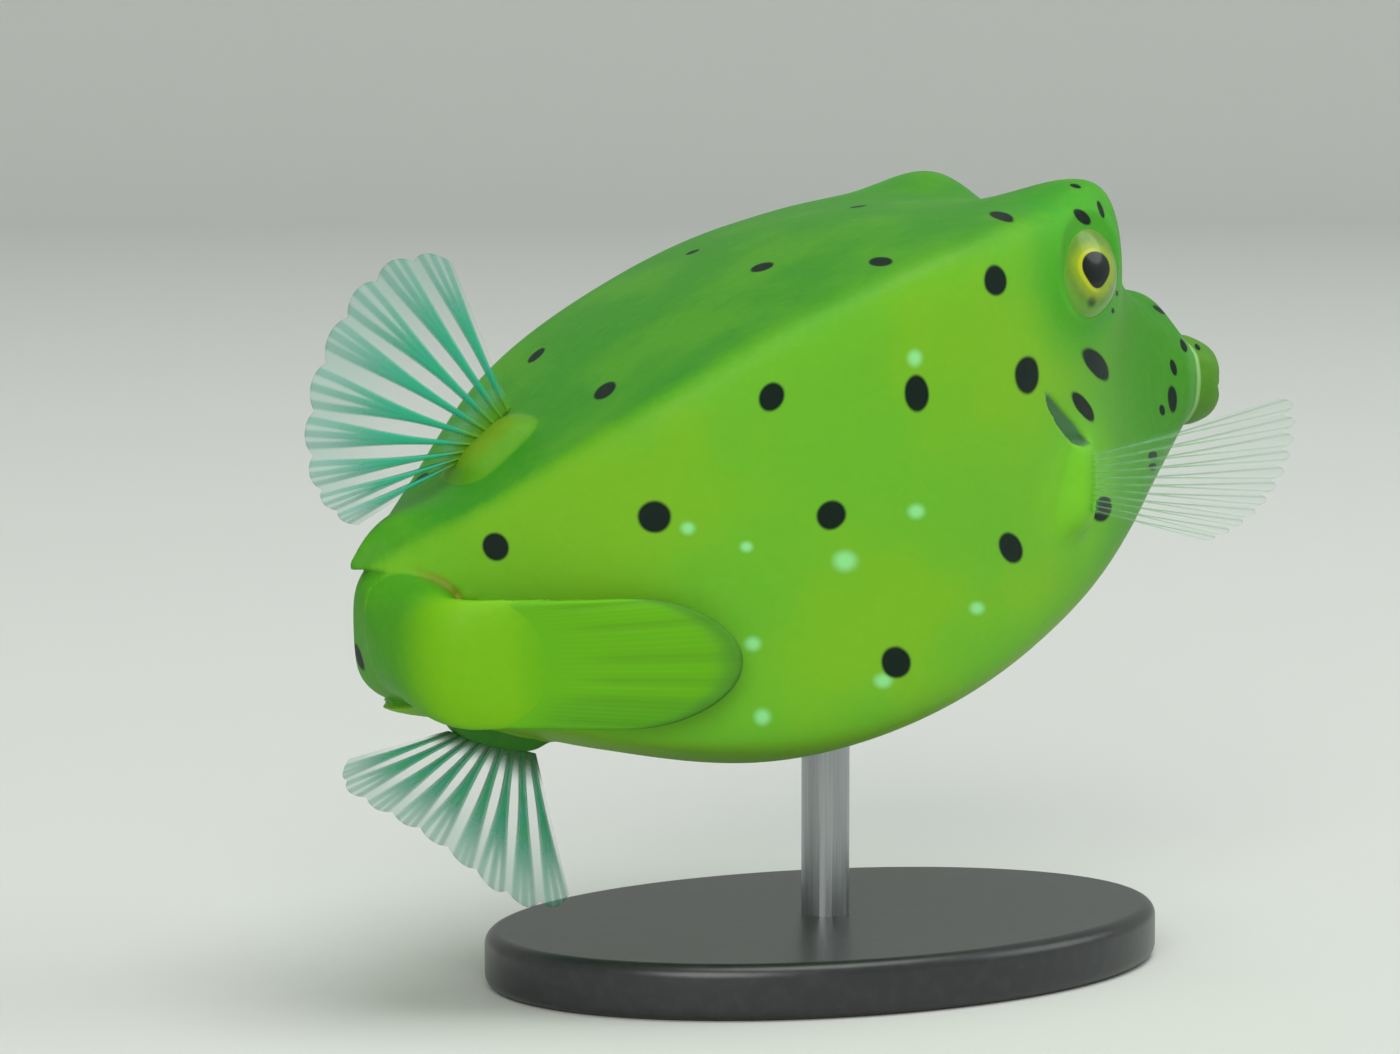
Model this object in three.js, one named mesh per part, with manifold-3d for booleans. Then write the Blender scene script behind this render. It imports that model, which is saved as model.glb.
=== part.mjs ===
// A young yellow boxfish, life size, held on a display stand. Millimetres, +Z up.
// The fish is built in a frame of its own: x runs from the rear tip of the shell (0) to the lips,
// +y is its left side and z is up. A group then tips its nose up and lifts it onto the stand.
import * as THREE from 'three';
import Module from 'manifold-3d';

const wasm = await Module();
wasm.setup();

// Sizes of the shell
const SHELL = 85.6;           // length of the shell, rear tip to the root of the lips
// rows: x, crown z, upper ridge z, upper ridge y, lower ridge z, lower ridge y, keel z
const STATIONS = [
  [-0.9, 2.7, 1.3, 0.5, -7.4, 2.2, -9.3],
  [0, 3.9, 1.9, 1.0, -7.7, 3.1, -9.9],
  [8.6, 7.9, 7.4, 8.3, -11.1, 8.8, -12.7],
  [20.6, 15.8, 15.3, 17.2, -14.6, 15.0, -16.7],
  [36.1, 23.9, 22.1, 21.9, -16.0, 18.5, -20.1],
  [49.9, 28.1, 26.1, 22.6, -13.6, 18.2, -18.7],
  [60.2, 28.3, 27.9, 19.4, -9.6, 16.0, -15.7],
  [68.8, 26.0, 26.7, 13.1, -5.3, 12.8, -11.3],
  [75.7, 20.2, 19.6, 7.0, -1.1, 8.4, -6.9],
  [81.7, 16.7, 14.8, 4.4, 3.9, 4.8, -0.8],
  [85.6, 13.5, 12.1, 3.6, 6.8, 3.2, 4.4],
];
const RINGS = 40;            // cross sections along the shell
const AROUND = 52;           // points around each section
const SIDE_BULGE = 0.6;      // how far the flat sides swell between the ridges
const GAP = 0.3;             // clearance kept between neighbouring solids
// swellings: centre, direction, height and spread
const BROW = { at: [68.1, 10.9, 26.9], dir: [0, 0, 1], amp: 2.6, spread: 4.7 };
const ORBIT = { at: [67.9, 12.8, 22.2], dir: [0.485, 0.84, 0.24], amp: 2.4, spread: 5.3 };
const NOSE = { at: [82.9, 0, 16.0], dir: [0.4, 0, 0.9], amp: 1.5, spread: 2.8 };

// Sizes of the tail opening and the tail
const OPENING = { x: 0, z: -4.3, rx: 8.3, rz: 6.3 };
// rows: x, y, z of the axis, half width, half height, boxiness of the section (1 is an oval)
const TAIL_ROOT = [
  [11, 0.8, -4.3, 9.4, 6.6, 0.6],
  [7.8, 0.2, -4.3, 8.6, 6.4, 0.6],
  [5.5, -0.7, -3.8, 7.4, 6.8, 0.75],
  [4.4, -2.3, -3.4, 6.2, 6.8, 0.85],
  [3.6, -4.3, -4.1, 4.9, 5.5, 0.9],
  [3.0, -6.4, -4.7, 4.0, 5.5, 1.0],
  [2.8, -8.8, -5.3, 3.0, 5.5, 0.9],
  [3.5, -10.9, -5.6, 1.9, 5.65, 0.8],
  [5.1, -12.3, -5.75, 1.1, 5.65, 0.75],
];

// Sizes of the fins
const MEMBRANE = 0.5;        // thickness of the web between the rays
const RAY = 1.3;             // thickness of a ray at its root
const FIN_ROWS = 6;          // steps from root to margin
const SCALLOP = 0.035;       // how far the web falls short of the ray tips

// Eyes, lips, stand
const EYE = { at: [64.9, 17.4, 22.8], dir: [0.25, 0.945, 0.21], r: 4.75, deep: 2.7, sunk: 1.25 };
const MOUTH_Z = 8.2;
const NOSE_UP = THREE.MathUtils.degToRad(4.1);   // tilt of the fish on its stand
const PIVOT = [43, 0, 2];                        // point of the fish the tilt turns about
const ROD_X = 47;                                // the rod stands under this point of the fish
const ROD_R = 2.2;
const PLATE = { length: 66, width: 46, height: 5, round: 1.2 };
const FIN_CLEARANCE = 2.8;                       // anal fin tips to the top of the plate
const LOWEST = 34.6;                             // pivot down to the anal fin tips

const V = (x, y, z) => new THREE.Vector3(x, y, z);

// From three.js geometry to solids and back
function solid(geometry) {
  const position = geometry.getAttribute('position');
  const index = geometry.getIndex();
  const seen = new Map();
  const points = [];
  const remap = [];
  for (let i = 0; i < position.count; i++) {
    const p = [position.getX(i), position.getY(i), position.getZ(i)];
    const key = p.map((c) => Math.round(c * 1e5)).join();
    if (!seen.has(key)) {
      seen.set(key, points.length / 3);
      points.push(...p);
    }
    remap.push(seen.get(key));
  }
  const tris = [];
  const count = index ? index.count : position.count;
  for (let i = 0; i < count; i += 3) {
    const t = [0, 1, 2].map((k) => remap[index ? index.getX(i + k) : i + k]);
    if (t[0] !== t[1] && t[1] !== t[2] && t[2] !== t[0]) tris.push(...t);
  }
  return new wasm.Manifold(new wasm.Mesh({
    numProp: 3, vertProperties: new Float32Array(points), triVerts: new Uint32Array(tris),
  }));
}

function largest(manifold) {
  return manifold.decompose().sort((a, b) => b.volume() - a.volume())[0];
}

function geometryOf(manifold) {
  const mesh = largest(manifold).getMesh();
  const geometry = new THREE.BufferGeometry();
  const flat = new Float32Array((mesh.vertProperties.length / mesh.numProp) * 3);
  for (let i = 0; i < flat.length / 3; i++) {
    for (let k = 0; k < 3; k++) flat[3 * i + k] = mesh.vertProperties[i * mesh.numProp + k];
  }
  geometry.setAttribute('position', new THREE.BufferAttribute(flat, 3));
  geometry.setIndex(new THREE.BufferAttribute(new Uint32Array(mesh.triVerts), 1));
  return geometry;
}

// A closed surface from rings of points; each ring runs the same way round.
function loft(rings, capStart = true, capEnd = true) {
  const n = rings[0].length;
  const points = rings.flat();
  const tris = [];
  for (let i = 0; i + 1 < rings.length; i++) {
    for (let j = 0; j < n; j++) {
      const a = i * n + j, b = i * n + (j + 1) % n, c = a + n, d = b + n;
      tris.push(a, c, b, b, c, d);
    }
  }
  const cap = (ring, first, flip) => {
    const centre = ring.reduce((s, p) => s.clone().add(p), V(0, 0, 0)).divideScalar(n);
    points.push(centre);
    const k = points.length - 1;
    for (let j = 0; j < n; j++) {
      const a = first + j, b = first + (j + 1) % n;
      tris.push(...(flip ? [k, b, a] : [k, a, b]));
    }
  };
  if (capStart) cap(rings[0], 0, false);
  if (capEnd) cap(rings.at(-1), (rings.length - 1) * n, true);
  return meshGeometry(points, tris);
}

function meshGeometry(points, tris) {
  const geometry = new THREE.BufferGeometry();
  geometry.setAttribute('position', new THREE.Float32BufferAttribute(
    points.flatMap((p) => [p.x, p.y, p.z]), 3));
  geometry.setIndex(tris);
  if (signedVolume(points, tris) < 0) {
    for (let i = 0; i < tris.length; i += 3) [tris[i], tris[i + 1]] = [tris[i + 1], tris[i]];
    geometry.setIndex(tris);
  }
  return geometry;
}

function signedVolume(points, tris) {
  let volume = 0;
  for (let i = 0; i < tris.length; i += 3) {
    const [a, b, c] = [points[tris[i]], points[tris[i + 1]], points[tris[i + 2]]];
    volume += a.dot(b.clone().cross(c)) / 6;
  }
  return volume;
}

// The shell
// Smooth interpolation of the station rows at x, with tangents that suit uneven spacing.
function row(x) {
  const s = STATIONS;
  let i = 0;
  while (i < s.length - 2 && x > s[i + 1][0]) i++;
  const h = s[i + 1][0] - s[i][0];
  const t = THREE.MathUtils.clamp((x - s[i][0]) / h, 0, 1);
  const slope = (k, c) => (s[k + 1][c] - s[k][c]) / (s[k + 1][0] - s[k][0]);
  const tangent = (k, c) => {
    if (k === 0) return slope(0, c);
    if (k === s.length - 1) return slope(k - 1, c);
    const h0 = s[k][0] - s[k - 1][0], h1 = s[k + 1][0] - s[k][0];
    return (slope(k - 1, c) * h1 + slope(k, c) * h0) / (h0 + h1);
  };
  return [1, 2, 3, 4, 5, 6].map((c) => {
    const p0 = s[i][c], p1 = s[i + 1][c];
    const m0 = tangent(i, c) * h, m1 = tangent(i + 1, c) * h;
    const t2 = t * t, t3 = t2 * t;
    return (2 * t3 - 3 * t2 + 1) * p0 + (t3 - 2 * t2 + t) * m0
      + (3 * t2 - 2 * t3) * p1 + (t3 - t2) * m1;
  });
}

// Twenty control points around a section: crown, ridges, sides and keel.
function outline([zc, zr, wr, zv, wv, zk]) {
  const points = [[-wr, zr]];
  for (const u of [0.8, 0.4, 0, -0.4, -0.8]) points.push([-wr * u, zr + (zc - zr) * (1 - u * u)]);
  points.push([wr, zr]);
  const side = (t) => [wr + (wv - wr) * t + SIDE_BULGE * 4 * t * (1 - t), zr + (zv - zr) * t];
  for (const t of [0.15, 0.5, 0.85]) points.push(side(t));
  points.push([wv, zv]);
  for (const u of [0.8, 0.4, 0, -0.4, -0.8]) points.push([wv * u, zv + (zk - zv) * (1 - u * u)]);
  points.push([-wv, zv]);
  for (const t of [0.85, 0.5, 0.15]) {
    const [y, z] = side(t);
    points.push([-y, z]);
  }
  return points;
}

// The uniform cubic B-spline through those control points, at u turns around the section.
function around(points, u) {
  const n = points.length;
  const k = Math.floor(u * n), f = u * n - k;
  const w = [(1 - f) ** 3, 3 * f ** 3 - 6 * f ** 2 + 4, -3 * f ** 3 + 3 * f ** 2 + 3 * f + 1, f ** 3];
  return [0, 1].map((c) => w.reduce((s, v, i) => s + v * points[(k + i - 1 + n) % n][c], 0) / 6);
}

function swell(p, { at, dir, amp, spread }, side) {
  const centre = V(at[0], at[1] * side, at[2]);
  const push = V(dir[0], dir[1] * side, dir[2]);
  const reach = p.distanceTo(centre) / spread;
  return push.multiplyScalar(amp * Math.exp(-0.5 * reach * reach));
}

function skin(x, u) {
  const [y, z] = around(outline(row(x)), u);
  const p = V(x, y, z);
  const moved = p.clone();
  for (const side of [-1, 1]) {
    moved.add(swell(p, BROW, side)).add(swell(p, ORBIT, side));
  }
  return moved.add(swell(p, NOSE, 1));
}

function shell() {
  const rings = [];
  for (let i = 0; i < RINGS; i++) {
    const t = i / (RINGS - 1);
    const x = -0.9 + (SHELL + 0.9) * (1 - (1 - t) ** 1.3);
    rings.push(Array.from({ length: AROUND }, (_, j) => skin(x, j / AROUND)));
  }
  return solid(loft(rings));
}

// The prism that opens the rear of the shell: half an ellipse ahead of a flat sided slot.
function opening(inset) {
  const { x, z, rx, rz } = OPENING;
  const shape = new THREE.Shape();
  shape.moveTo(-30, z - rz + inset);
  shape.lineTo(x, z - rz + inset);
  for (let i = 0; i <= 20; i++) {
    const a = -Math.PI / 2 + Math.PI * i / 20;
    shape.lineTo(x + (rx - inset) * Math.cos(a), z + (rz - inset) * Math.sin(a));
  }
  shape.lineTo(-30, z + rz - inset);
  const geometry = new THREE.ExtrudeGeometry(shape, { depth: 80, bevelEnabled: false });
  return solid(geometry.translate(0, 0, -40).rotateX(Math.PI / 2));
}

// A block that keeps everything ahead of (+1) or behind (-1) the joint of head and torso.
function headSide(sign) {
  const slant = Math.atan(0.5);
  const block = new THREE.BoxGeometry(200, 200, 200).translate(sign * (100 + GAP / 2), 0, 0);
  return solid(block.rotateY(-slant).translate(71, 0, 0));
}

function ball(centre, dir, r, deep) {
  const geometry = new THREE.SphereGeometry(1, 20, 10).rotateX(Math.PI / 2).scale(r, r, deep);
  const turn = new THREE.Quaternion().setFromUnitVectors(V(0, 0, 1), dir.clone().normalize());
  return solid(geometry.applyQuaternion(turn).translate(...centre));
}

function eyeball(side, grow) {
  const dir = V(EYE.dir[0], EYE.dir[1] * side, EYE.dir[2]).normalize();
  const at = V(EYE.at[0], EYE.at[1] * side, EYE.at[2]).addScaledVector(dir, -EYE.sunk);
  return ball(at, dir, EYE.r + grow, EYE.deep + grow);
}

// The lips
function lip(z, rx, ry, rz, upper) {
  const shaped = solid(new THREE.SphereGeometry(1, 20, 12).rotateZ(Math.PI / 2)
    .scale(rx, ry, rz).translate(SHELL + 0.5, 0, z));
  const low = upper ? MOUTH_Z + GAP / 2 : -50;
  const high = upper ? 50 : MOUTH_Z - GAP / 2;
  const keep = new THREE.BoxGeometry(20, 40, high - low)
    .translate(SHELL + GAP + 10, 0, (high + low) / 2);
  return shaped.intersect(solid(keep));
}

// The root of the tail
function tailRoot(from, to, steps) {
  const rings = [];
  for (let i = 0; i <= steps; i++) {
    const t = from + (to - from) * i / steps;
    const [x, y, z, wide, tall, box] = smoothRow(TAIL_ROOT, t);
    const [x0, y0] = smoothRow(TAIL_ROOT, Math.max(0, t - 0.01));
    const [x1, y1] = smoothRow(TAIL_ROOT, Math.min(1, t + 0.01));
    const across = V(y0 - y1, x1 - x0, 0).normalize();
    const blunt = (c) => Math.sign(c) * Math.abs(c) ** box;
    rings.push(Array.from({ length: 24 }, (_, j) => {
      const a = 2 * Math.PI * j / 24;
      return V(x, y, z + tall * blunt(Math.sin(a)))
        .addScaledVector(across, wide * blunt(Math.cos(a)));
    }));
  }
  return solid(loft(rings));
}

// A smooth curve through the rows of a table, read at t from 0 to 1.
function smoothRow(rows, t) {
  const n = rows.length - 1;
  const k = Math.min(Math.floor(t * n), n - 1), f = t * n - k;
  const beyond = (end, next) => end.map((v, c) => 2 * v - next[c]);
  const at = (i) => rows[i] ?? (i < 0 ? beyond(rows[0], rows[1]) : beyond(rows[n], rows[n - 1]));
  const [a, b, c, d] = [k - 1, k, k + 1, k + 2].map(at);
  return b.map((v, i) => 0.5 * (2 * v + (c[i] - a[i]) * f
    + (2 * a[i] - 5 * v + 4 * c[i] - d[i]) * f * f + (3 * v - a[i] - 3 * c[i] + d[i]) * f ** 3));
}

// Fins
// A web with raised rays. root(u) and tip(u) give the two ends of the line at u across the fin,
// bend(u, v) moves the middle sheet along the fin's normal, and taper thins it toward the margin.
function fin({ rays, root, tip, normal, bend = () => 0, rootThick = RAY, bow = 0 }) {
  const columns = rays * 4;
  const front = [];
  const back = [];
  for (let i = 0; i <= columns; i++) {
    const u = i / columns;
    const crest = 0.5 - 0.5 * Math.cos(2 * Math.PI * u * rays);
    const [a, b] = [root(u), tip(u)];
    b.lerpVectors(a, b, 1 - SCALLOP * (1 - crest));
    for (let j = 0; j <= FIN_ROWS; j++) {
      const v = j / FIN_ROWS;
      const middle = a.clone().lerp(b, v).addScaledVector(normal, bend(u, v) + bow * v * v);
      const web = MEMBRANE * (1 - 0.3 * v ** 4);
      const ray = (rootThick - MEMBRANE) * (1 - 0.75 * v) * crest;
      front.push(middle.clone().addScaledVector(normal, (web + ray) / 2));
      back.push(middle.clone().addScaledVector(normal, -(web + ray) / 2));
    }
  }
  const rows = FIN_ROWS + 1;
  const total = front.length;
  const tris = [];
  const edge = [];
  for (let i = 0; i < columns; i++) {
    for (let j = 0; j < FIN_ROWS; j++) {
      const a = i * rows + j, b = a + 1, c = a + rows, d = c + 1;
      tris.push(a, c, b, b, c, d);
      tris.push(total + a, total + b, total + c, total + b, total + d, total + c);
    }
  }
  for (let j = 0; j < FIN_ROWS; j++) edge.push([j, j + 1]);
  for (let i = 0; i < columns; i++) edge.push([i * rows + FIN_ROWS, (i + 1) * rows + FIN_ROWS]);
  for (let j = FIN_ROWS; j > 0; j--) edge.push([columns * rows + j, columns * rows + j - 1]);
  for (let i = columns; i > 0; i--) edge.push([i * rows, (i - 1) * rows]);
  for (const [a, b] of edge) tris.push(a, b, total + a, b, total + b, total + a);
  return meshGeometry([...front, ...back], tris);
}

// A smooth curve through a few points, read at u from 0 to 1.
const through = (points) => {
  const curve = new THREE.CatmullRomCurve3(points.map((p) => V(...p)), false, 'centripetal');
  return (u) => curve.getPoint(u);
};

// The fleshy ridge under a fin: a flattened mound along the line of the fin's root.
function lobe(from, to, up, half, height) {
  const along = to.clone().sub(from);
  const length = along.length();
  const dir = along.clone().divideScalar(length);
  const side = V(0, 1, 0);
  const rings = [];
  for (let i = 0; i <= 12; i++) {
    const t = i / 12;
    const full = Math.sqrt(Math.max(0.02, 1 - (2 * t - 1) ** 4));
    rings.push(Array.from({ length: 16 }, (_, j) => {
      const a = 2 * Math.PI * j / 16;
      return from.clone().addScaledVector(dir, t * length)
        .addScaledVector(side, half * full * Math.cos(a))
        .addScaledVector(up, height * full * Math.sin(a));
    }));
  }
  return solid(loft(rings));
}

// The solids
const wholeShell = shell();
const carapace = wholeShell.subtract(opening(0));
let head = carapace.intersect(headSide(1));
let torso = carapace.intersect(headSide(-1));

const eyes = { right: eyeball(-1, 0), left: eyeball(1, 0) };
for (const side of [-1, 1]) {
  head = head.subtract(eyeball(side, GAP));
  torso = torso.subtract(eyeball(side, GAP));
}

// gill slits: a narrow wedge, wider below, cut into each flank ahead of the pectoral fin
function gillSlit(side) {
  const shape = new THREE.Shape();
  shape.moveTo(-4.6, 3.4);
  shape.quadraticCurveTo(-1.6, -0.2, 3.4, -3.4);
  shape.lineTo(2.0, -3.9);
  shape.quadraticCurveTo(-3.2, -1.8, -4.6, 3.4);
  const wedge = new THREE.ExtrudeGeometry(shape, { depth: 6, bevelEnabled: false, curveSegments: 5 });
  const out = V(0.487, side * 0.873, 0).normalize();
  const along = V(0.873, -side * 0.487, 0).normalize();
  const frame = new THREE.Matrix4().makeBasis(along, V(0, 0, 1), along.clone().cross(V(0, 0, 1)));
  const depth = along.clone().cross(V(0, 0, 1)).dot(out) > 0 ? -1.4 : -4.6;
  wedge.translate(0, 0, depth).applyMatrix4(frame).translate(62.6, side * 17.1, 9.2);
  return solid(wedge);
}
for (const side of [-1, 1]) torso = torso.subtract(gillSlit(side));

// nostril pits in front of the eyes
for (const side of [-1, 1]) {
  const pit = skin(76.2, side > 0 ? 0.345 : 1 - 0.045);
  head = head.subtract(ball(pit, V(0, 0, 1), 0.55, 0.55));
}

// dorsal and anal lobes, trimmed a gap clear of the shell
const DORSAL_UP = V(-0.563, 0, 0.827);
const ANAL_UP = V(-0.34, 0, -0.94);
const DORSAL = { from: V(17.4, 0, 12.5), to: V(10.2, 0, 7.5), half: 3.9, height: 2.6 };
const ANAL = { from: V(17.0, 0, -15.0), to: V(7.4, 0, -11.3), half: 1.8, height: 2.3 };
const PECTORAL = { at: V(64.2, 15.5, 3.0), out: V(0.52, 0.85, 0.06).normalize() };

// the plain shell with its surface moved out by a distance, or in by a negative one
function shellMoved(out) {
  const rings = [];
  const start = -0.9 - Math.min(0, out);
  for (let i = 0; i < 40; i++) {
    const x = start + (SHELL - start) * i / 39;
    rings.push(Array.from({ length: AROUND }, (_, j) => {
      const u = j / AROUND;
      const p = skin(x, u);
      const du = skin(x, (u + 0.004) % 1).sub(skin(x, (u + 0.996) % 1));
      const dx = skin(Math.min(SHELL, x + 0.3), u).sub(skin(Math.max(-0.9, x - 0.3), u));
      const n = dx.cross(du).normalize();
      return p.addScaledVector(n, n.dot(V(0, p.y, p.z - 4)) < 0 ? -out : out);
    }));
  }
  return solid(loft(rings));
}
const clear = shellMoved(GAP);

// The tail's root fills the opening, just under the shell's surface, then bends out of it.
const bend = tailRoot(0.45, 1, 13);
const peduncle = tailRoot(0, 0.6, 12).intersect(opening(GAP)).intersect(shellMoved(-GAP))
  .add(bend.intersect(opening(GAP))).add(bend.subtract(clear));

const dorsalLobe = lobe(DORSAL.from, DORSAL.to, DORSAL_UP, DORSAL.half, DORSAL.height)
  .subtract(clear);
const analLobe = lobe(ANAL.from, ANAL.to, ANAL_UP, ANAL.half, ANAL.height).subtract(clear);

function pectoralBase(side) {
  const out = V(PECTORAL.out.x, PECTORAL.out.y * side, PECTORAL.out.z);
  const at = V(PECTORAL.at.x, PECTORAL.at.y * side, PECTORAL.at.z);
  const mound = new THREE.SphereGeometry(1, 20, 14).scale(1.4, 3.9, 2.2);
  const up = V(0.28, 0, 0.96).normalize();
  const zAxis = out.clone();
  const yAxis = up.clone().addScaledVector(zAxis, -up.dot(zAxis)).normalize();
  const xAxis = yAxis.clone().cross(zAxis);
  mound.applyMatrix4(new THREE.Matrix4().makeBasis(xAxis, yAxis, zAxis)).translate(...at);
  return { body: solid(mound).subtract(clear), xAxis, yAxis, zAxis, at };
}
const pectorals = { right: pectoralBase(-1), left: pectoralBase(1) };

// the rod's socket in the belly
const toStand = new THREE.Matrix4().makeRotationY(-NOSE_UP);
const fishToWorld = new THREE.Matrix4().makeTranslation(
  PIVOT[0] - ROD_X, 0, PLATE.height + FIN_CLEARANCE + LOWEST)
  .multiply(toStand).multiply(new THREE.Matrix4().makeTranslation(...PIVOT.map((c) => -c)));
const worldToFish = fishToWorld.clone().invert();
const belly = V(ROD_X, 0, -19.2).applyMatrix4(fishToWorld);
const ROD_TOP = belly.z + 2.6;
const rodHole = (r, low, high) => new THREE.CylinderGeometry(r, r, high - low, 24)
  .rotateX(Math.PI / 2).translate(0, 0, (high + low) / 2);
torso = torso.subtract(solid(
  rodHole(ROD_R + GAP, ROD_TOP - 12, ROD_TOP + GAP).applyMatrix4(worldToFish)));

// Fin sheets
const lift = (p, up, d) => p.clone().addScaledVector(up, d);
const dorsalRoot = (u) => lift(DORSAL.from, DORSAL_UP, DORSAL.height + GAP)
  .lerp(lift(DORSAL.to, DORSAL_UP, DORSAL.height + GAP), 0.08 + 0.84 * u);
const dorsalFin = fin({
  rays: 9, root: dorsalRoot, normal: V(0, 1, 0),
  tip: through([[10.9, 0, 28.2], [6.6, 0, 28.6], [2.4, 0, 26.7], [-1, 0, 23], [-3.5, 0, 18.5],
    [-4.6, 0, 13.8], [-4.2, 0, 9.9], [-2.7, 0, 7.4], [-0.4, 0, 5.6]]),
  bend: (u, v) => 0.5 * Math.sin(5 * u + 1) * v * v,
});
const analRoot = (u) => lift(ANAL.from, ANAL_UP, ANAL.height + GAP)
  .lerp(lift(ANAL.to, ANAL_UP, ANAL.height + GAP), 0.08 + 0.84 * u);
const analFin = fin({
  rays: 9, root: analRoot, normal: V(0, 1, 0),
  tip: through([[18.3, 0, -30.4], [15.0, 0, -30.6], [11.4, 0, -28.6], [8.2, 0, -25.6],
    [5.2, 0, -22.9], [2.2, 0, -20.7], [-0.8, 0, -18.7], [-3.2, 0, -16.6], [-3.0, 0, -14.4]]),
  bend: (u, v) => 0.5 * Math.sin(4 * u) * v * v,
});
const CAUDAL = { root: V(5.75, -12.6, -5.8), end: V(25.8, -20.6, -7.4) };
const caudalAxis = CAUDAL.end.clone().sub(CAUDAL.root);
const caudalLength = caudalAxis.length();
const caudalDir = caudalAxis.clone().normalize();
const caudalUp = V(0, 0, 1).addScaledVector(caudalDir, -caudalDir.z).normalize();
const caudalNormal = caudalDir.clone().cross(caudalUp).normalize();
const caudalFin = fin({
  rays: 10, normal: caudalNormal, rootThick: 1.5,
  root: (u) => CAUDAL.root.clone().addScaledVector(caudalUp, 5.35 * (1 - 2 * u)),
  tip: (u) => {
    const a = 1 - 2 * u;
    return CAUDAL.root.clone()
      .addScaledVector(caudalDir, caudalLength * (1 - 0.26 * Math.abs(a) ** 3.2))
      .addScaledVector(caudalUp, 5.8 * a);
  },
  bend: (u, v) => 0.9 * Math.sin(Math.PI * v) * 0.7 + 0.25 * Math.cos(6 * u) * v,
});

function pectoralFin(side, { zAxis, yAxis, at }) {
  const rootMid = at.clone().addScaledVector(zAxis, 2.2 + GAP + 0.05);
  const reach = V(0.80, 0.585 * side, 0.10).normalize();
  const up = yAxis.clone().addScaledVector(reach, -yAxis.dot(reach)).normalize();
  const normal = reach.clone().cross(up).normalize();
  return fin({
    rays: 10, normal, rootThick: 1.0,
    root: (u) => rootMid.clone().addScaledVector(up, 2.6 * (1 - 2 * u)),
    tip: (u) => {
      const a = THREE.MathUtils.lerp(0.22, -0.66, u);
      const length = 19.6 - 7.2 * u ** 1.5;
      return rootMid.clone().addScaledVector(reach, length * Math.cos(a))
        .addScaledVector(up, length * Math.sin(a) + 0.8);
    },
    bow: 1.2,
  });
}

// Scene graph
const paint = (hex, roughness, metalness = 0) => new THREE.MeshStandardMaterial({
  color: hex, roughness, metalness,
});
const looks = {
  skin: () => paint(0x74ad25, 0.5),
  flesh: () => paint(0x4f9424, 0.5),
  fin: () => paint(0x59a040, 0.45),
  clearFin: () => paint(0x3d9f7a, 0.4),
  eye: () => paint(0x14251f, 0.15),
  lip: () => paint(0x5f9a3a, 0.5),
  plate: () => paint(0x2b2d2f, 0.45),
  steel: () => paint(0xa9adb0, 0.35, 1),
};

const part = new THREE.Group();
const fish = new THREE.Group();
fish.matrixAutoUpdate = true;
fish.position.setFromMatrixPosition(fishToWorld);
fish.rotation.set(0, -NOSE_UP, 0);
part.add(fish);

function add(parent, name, geometry, material) {
  const mesh = new THREE.Mesh(geometry, material);
  mesh.name = name;
  mesh.geometry.computeVertexNormals();
  parent.add(mesh);
  return mesh;
}

add(fish, 'head', geometryOf(head), looks.skin());
add(fish, 'torso', geometryOf(torso), looks.skin());
add(fish, 'upper_lip', geometryOf(lip(10.2, 4.1, 3.6, 2.5, true)), looks.lip());
add(fish, 'lower_lip', geometryOf(lip(6.5, 4.1, 3.3, 2.1, false)), looks.lip());
add(fish, 'eye_right', geometryOf(eyes.right), looks.eye());
add(fish, 'eye_left', geometryOf(eyes.left), looks.eye());
add(fish, 'caudal_peduncle', geometryOf(peduncle), looks.flesh());
add(fish, 'caudal_fin', caudalFin, looks.fin());
add(fish, 'dorsal_fin_lobe', geometryOf(dorsalLobe), looks.flesh());
add(fish, 'dorsal_fin', dorsalFin, looks.clearFin());
add(fish, 'anal_fin_lobe', geometryOf(analLobe), looks.flesh());
add(fish, 'anal_fin', analFin, looks.clearFin());
for (const [name, side] of [['right', -1], ['left', 1]]) {
  add(fish, `pectoral_base_${name}`, geometryOf(pectorals[name].body), looks.flesh());
  add(fish, `pectoral_fin_${name}`, pectoralFin(side, pectorals[name]), looks.clearFin());
}

// the stand: an oval plate with a blind hole, and one rod
const oval = new THREE.Shape();
oval.absellipse(0, 0, PLATE.length / 2 - PLATE.round, PLATE.width / 2 - PLATE.round, 0, 2 * Math.PI);
const plate = solid(new THREE.ExtrudeGeometry(oval, {
  depth: PLATE.height - 2 * PLATE.round, bevelThickness: PLATE.round, bevelSize: PLATE.round,
  bevelSegments: 3, curveSegments: 32,
}).translate(0, 0, PLATE.round)).subtract(solid(rodHole(ROD_R + GAP, 1.7, PLATE.height + 1)));
add(part, 'stand_base', geometryOf(plate), looks.plate());
add(part, 'stand_rod', rodHole(ROD_R, 2, ROD_TOP), looks.steel());

export default part;
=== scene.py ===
# %% [markdown]
# A young yellow boxfish on a display stand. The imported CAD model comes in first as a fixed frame:
# it gives the sizes and what the physics uses. Everything after this dresses that frame.
# Sizes of the fish are written in millimetres in the fish's own frame, where x runs from the rear
# tip of the shell to the lips, y is its left side and z is up.

# %% The frame
import math
import random
import bmesh
import bpy
import numpy as np
from mathutils import Matrix, Vector
from mathutils.bvhtree import BVHTree
from mathutils.kdtree import KDTree


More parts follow.
